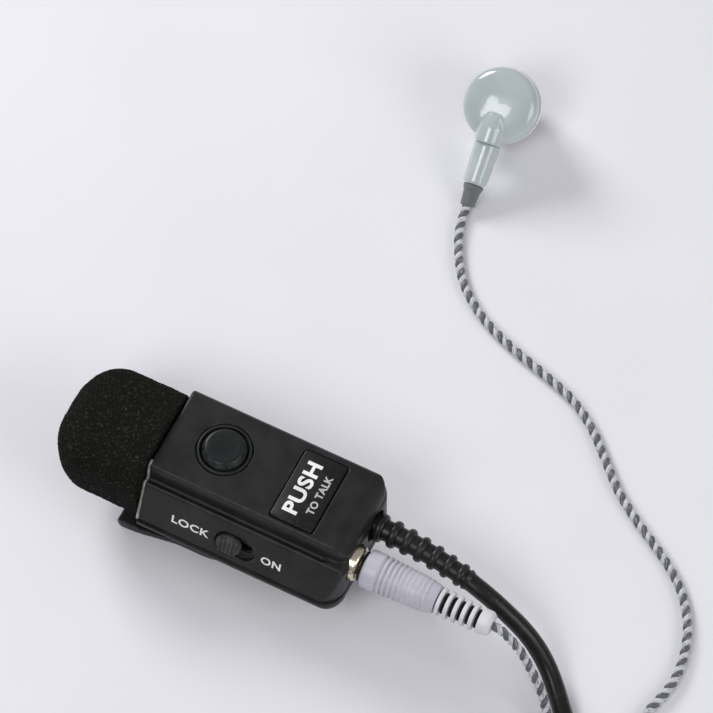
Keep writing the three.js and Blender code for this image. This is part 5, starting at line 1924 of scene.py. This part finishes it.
@dataclass
class EarphonePlug:
    """The earphone plug's ribbed body and slotted strain relief, standing in the jack."""

    start: float = 22.6
    length: float = 14.6
    radius: float = 3.8
    relief_length: float = 11.0
    y: float = -3.4
    axis: float = 16.0
    slots: int = 5
    slot_pitch: float = 1.65
    slot_width: float = 0.92

    def line(self, first: float, last: float, count: int) -> np.ndarray:
        """Points on the plug's axis between two stations, in metres."""
        stations = np.linspace(first, last, count)
        return np.column_stack([stations, np.full(count, self.y), np.full(count, self.axis)]) * MM

    def build(self) -> list[Piece]:
        """Make the body, its fine ribs and its strain relief, and return them."""
        place = along_x(0, self.y, self.axis)
        end = self.start + self.length
        start, radius = self.start, self.radius
        profile = rounded([
            (0, start), (radius - 0.45, start), (radius - 0.12, start + 0.4), (radius - 0.1, start + 3.0),
            (radius - 0.5, start + 3.3), (radius - 0.5, end - 4.2), (radius - 0.85, end - 1.2),
            (radius - 1.1, end), (0, end),
        ], 0.25, 4, closed=False)
        body = lathe("plug_body", profile, place, 72)
        dress(body, LILAC, Body.MIC, "grey_plastic", "earphone_plug_body", angle=35)
        ribs = ribs_along(
            "plug_body_ribs", LILAC, self.line(self.start + 3.9, end - 2.0, 12), 10,
            (self.radius - 0.05, self.radius - 0.50), 0.36, around=56,
        )
        dress(ribs, LILAC, Body.MIC, "grey_plastic", angle=60)
        profile: list[Point2] = [(0, end + 0.3), (2.7, end + 0.3)]
        for slot in range(self.slots):
            at = end + 1.0 + slot * self.slot_pitch
            outside, past = 2.7 - slot * 0.06, at + self.slot_width
            profile += [(outside, at), (1.5, at), (1.5, past), (outside - 0.03, past)]
        tip = end + self.relief_length
        profile += [(2.4, tip - 0.6), (1.9, tip), (0, tip)]
        relief = lathe("plug_relief", rounded(profile, 0.16, 3, closed=False), place, 64)
        dress(relief, PALE_RELIEF, Body.MIC, "grey_plastic", "earphone_plug_strain_relief", angle=35)
        middle = end + 1.46
        line = self.line(middle, middle + (self.slots - 1) * self.slot_pitch, 8)
        # Painted shade: dark rings sit in the relief's slots where shade falls.
        inner = ribs_along("plug_relief_slot_shade", DARK_PLASTIC_AND_SHADE, line, self.slots, (2.1, 1.95), 0.42)
        dress(inner, DARK_PLASTIC_AND_SHADE, Body.MIC, "switch_black", angle=60, edges=False)
        # A dark insulating washer, which also stands in as painted shade for the gap between the jack ring
        # and the plug body.
        low, high = self.start - 0.62, self.start - 0.02
        section = rounded([(1.8, low), (2.9, low), (2.9, high), (1.8, high)], 0.12, 3)
        washer = lathe("plug_insulator_and_gap_shade", section, place, 48, ring=True)
        dress(washer, DARK_PLASTIC_AND_SHADE, Body.MIC, "switch_black", angle=40)
        return [body, ribs, relief, inner, washer]


def stereo_pin(name: str, radius: float, start: float, length: float, place: Matrix) -> Piece:
    """A plug pin with two insulating grooves, a waist and a rounded tip."""
    end = start + length
    profile = rounded([
        (0, start), (radius, start), (radius, start + length * 0.46),
        (radius - 0.12, start + length * 0.47), (radius - 0.12, start + length * 0.53),
        (radius, start + length * 0.54), (radius, end - 3.4),
        (radius - 0.2, end - 3.3), (radius - 0.2, end - 2.7), (radius - 0.05, end - 2.6),
        (radius - 0.7, end - 1.7), (radius - 0.15, end - 1.0), (radius - 0.8, end - 0.1), (0, end),
    ], 0.15, 4, closed=False)
    return lathe(name, profile, place, 48)


@dataclass
class RadioPlug:
    """The two-pin radio plug at the cable's far end, lying on the surface."""

    start: Point3 = (24.6, -53.5, 4.2)
    heading: float = -math.pi + math.atan2(0.454, 0.891)
    relief_length: float = 13.8
    body_length: float = 16.0
    half_width: float = 8.6
    half_height: float = 4.1
    pins: Sequence[tuple[str, str, float, float, float]] = (
        ("radio_pin_large", "radio_plug_pin_large", 1.75, 14.0, -5.5),
        ("radio_pin_small", "radio_plug_pin_small", 1.25, 11.0, 5.5),
    )

    def frame(self) -> Matrix:
        """The plug's own frame: X out along its pins."""
        return Matrix.Translation(self.start) @ Matrix.Rotation(self.heading, 4, "Z")

    def build(self) -> list[Piece]:
        """Make the relief, the body and the pins, and return them."""
        place = self.frame()
        turned = place @ along_x(0, 0, 0)
        root = self.relief_length
        profile = rounded([
            (0, 0), (1.95, 0), (2.2, 1.0), (2.7, root - 0.4), (3.2, root), (0, root),
        ], 0.15, 3, closed=False)
        core = lathe("radio_relief_core", profile, turned, 48)
        dress(core, RUBBER, Body.MIC, "black_rubber", "radio_plug_strain_relief", angle=45)
        line = np.array([place @ Vector((along, 0, 0)) for along in np.linspace(1.4, root - 1.6, 10)])
        ribs = ribs_along("radio_relief_ribs", RUBBER, line * MM, 5, (2.5, 3.3), 0.55, stretch=1.3)
        dress(ribs, RUBBER, Body.MIC, "black_rubber", angle=50)
        begin = root + 0.3
        end = begin + self.body_length
        wide, high = self.half_width, self.half_height
        plan = arc_rectangle((begin, -wide), (end, wide), [2.0, 4.5, 4.5, 2.0], 10)
        body = prism("radio_body", plan, -5, 5, Plane.XY)
        section = arc_rectangle((-wide, -high), (wide, high), [2.6] * 4, 10)
        combined(body, [prism("section", section, begin - 1, end + 1, Plane.YZ)], "INTERSECT")
        grip = arc_rectangle((begin + 5, -5), (begin + 12, 5), [1.5] * 4, 8)
        combined(body, [prism("grip", grip, 3.75, 6, Plane.XY)], "DIFFERENCE")
        moulded(body, 0.22, 4, 0.4)
        holes = [
            rod("pin_hole", radius + 0.3, end - 2.3, end + 1, along_x(0, y, 0), 32)
            for _, _, radius, _, y in self.pins
        ]
        combined(body, holes, "DIFFERENCE")
        stand(body, place)
        body.name = "radio_plug_moulding"
        dress(body, SHELL, Body.MIC, "shell_plastic", "radio_plug_body", angle=38)
        made = [core, ribs, body]
        for name, node, radius, length, y in self.pins:
            pin = stereo_pin(name, radius, end - 2.0, length + 2.0, place @ along_x(0, y, 0))
            made.append(dress(pin, GOLD, Body.MIC, "gold", node, angle=35))
        return made


# ---- earphone


@dataclass
class Earphone:
    """The in-ear earphone, lying on its tip and stem."""

    centre: Point3 = (0.3, 98.3, 10.35)
    dip: float = 32.0
    heading: float = -85.0
    radius: float = 7.4
    shapes: Sequence[tuple[str, Sequence[Point2], bool, Finish, str, str]] = (
        ("earphone_seam", ((6.1, -0.8), (7.1, -0.8), (7.1, 0.1), (6.1, 0.1)), True, DARK_PLASTIC_AND_SHADE,
         "switch_black", "earphone_trim_ring"),
        ("earphone_front", (
            (0, -1.1), (5.2, -1.1), (5.2, -2.8), (1.7, -4.6), (1.7, -7.4), (1.1, -7.4), (1.1, -8.2),
            (2.3, -8.2), (2.7, -7.8), (2.7, -5.6), (4.6, -4.6), (6.6, -3.4), (7.3, -2.4), (7.4, -1.1),
            (6.6, -0.95), (0, -0.95),
        ), False, WHITE_GLOSS, "white_plastic", "earphone_front_shell"),
        ("earphone_tip", (
            (3.0, -5.9), (3.0, -8.4), (2.2, -9.0), (2.5, -9.6), (4.2, -9.5), (5.2, -8.4), (5.6, -6.9),
            (5.6, -5.9), (5.1, -5.9), (5.0, -6.9), (4.6, -7.9), (3.6, -8.6), (3.4, -8.2), (3.4, -5.9),
        ), True, SILICONE, "grey_silicone", "ear_tip"),
    )
    stem: Sequence[Point2] = (
        (0, 7.8), (2.55, 7.8), (2.6, 8.2), (2.35, 15.5), (2.2, 15.8), (0, 15.8)
    )
    boot: Sequence[Point2] = (
        (0, 16.05), (2.0, 16.05), (1.95, 16.8), (1.65, 17.4), (1.4, 20.2), (1.2, 20.4), (0, 20.4)
    )

    def frame(self) -> Matrix:
        """The earphone's own frame: Z out of its rear cap, X along its stem."""
        return (
            Matrix.Translation(self.centre) @ Matrix.Rotation(math.radians(self.heading), 4, "Z")
            @ Matrix.Rotation(math.radians(self.dip), 4, "Y")
        )

    def rear_cap(self, place: Matrix) -> Piece:
        """The glossy cap with a fairing that runs out to the stem."""
        profile = rounded([
            (0, 0.4), (6.9, 0.4), (7.3, 0.8), (self.radius, 1.9), (7.15, 3.0), (6.3, 3.75), (4.6, 4.3),
            (2.4, 4.6), (0, 4.7),
        ], 0.8, 5, closed=False)
        cap = lathe("cap", profile, Matrix.Identity(4), 96)
        flare = [(0, 1.5), (2.2, 2.0), (2.75, 4.5), (2.7, 7.7), (0, 7.7)]
        fairing = lathe("fairing", flare, along_x(0, 0, 2.75), 48)
        trim = prism("trim", [(-9, -9), (9, -9), (9, 9), (-9, 9)], -3, 0.4, Plane.XY)
        combined(fairing, [trim], "DIFFERENCE")
        combined(cap, [fairing], "UNION")
        moulded(cap, 0.18, 6, 0.45)
        stand(cap, place)
        cap.name = "earphone_cap"
        return dress(cap, CAP_GLOSS, Body.MIC, "blue_grey", "earphone_rear_cap", angle=50)

    def build(self) -> list[Piece]:
        """Make every piece of the earphone and return those that show."""
        place = self.frame()
        made = [self.rear_cap(place)]
        for name, outline, ring, finish, slot, node in self.shapes:
            piece = lathe(name, rounded(outline, 0.28, 4, closed=ring), place, 80, ring=ring)
            made.append(dress(piece, finish, Body.MIC, slot, node, angle=40))
        stem_place = place @ along_x(0, 0, 2)
        profile = rounded(self.stem, 0.25, 4, closed=False)
        stem = lathe("earphone_stem_tube", profile, stem_place, 64)
        made.append(dress(stem, CAP_GLOSS, Body.MIC, "blue_grey", "earphone_stem", angle=35))
        profile = rounded(self.boot, 0.3, 4, closed=False)
        boot = lathe("earphone_stem_boot", profile, stem_place, 48)
        dress(boot, SILICONE, Body.MIC, "grey_silicone", "earphone_stem_strain_relief", angle=35)
        made.append(boot)
        return made


def main() -> None:
    """Build the studio, the cords and every sub-assembly in order."""
    logging.basicConfig(level=logging.INFO, format="%(name)s %(message)s")
    Studio().build()
    MicrophoneCable().build(RadioPlug().build())
    EarphoneCord().build([*EarphonePlug().build(), *Earphone().build()])
    housing = Housing()
    housing.build()
    TalkButton().build()
    LockSwitch().build(housing)
    Windscreen().build()
    CableOutlet().build()
    Clip().build()
    finish_frame_nodes()
    log.info("all pieces are in place")


if __name__ == "__main__":
    main()
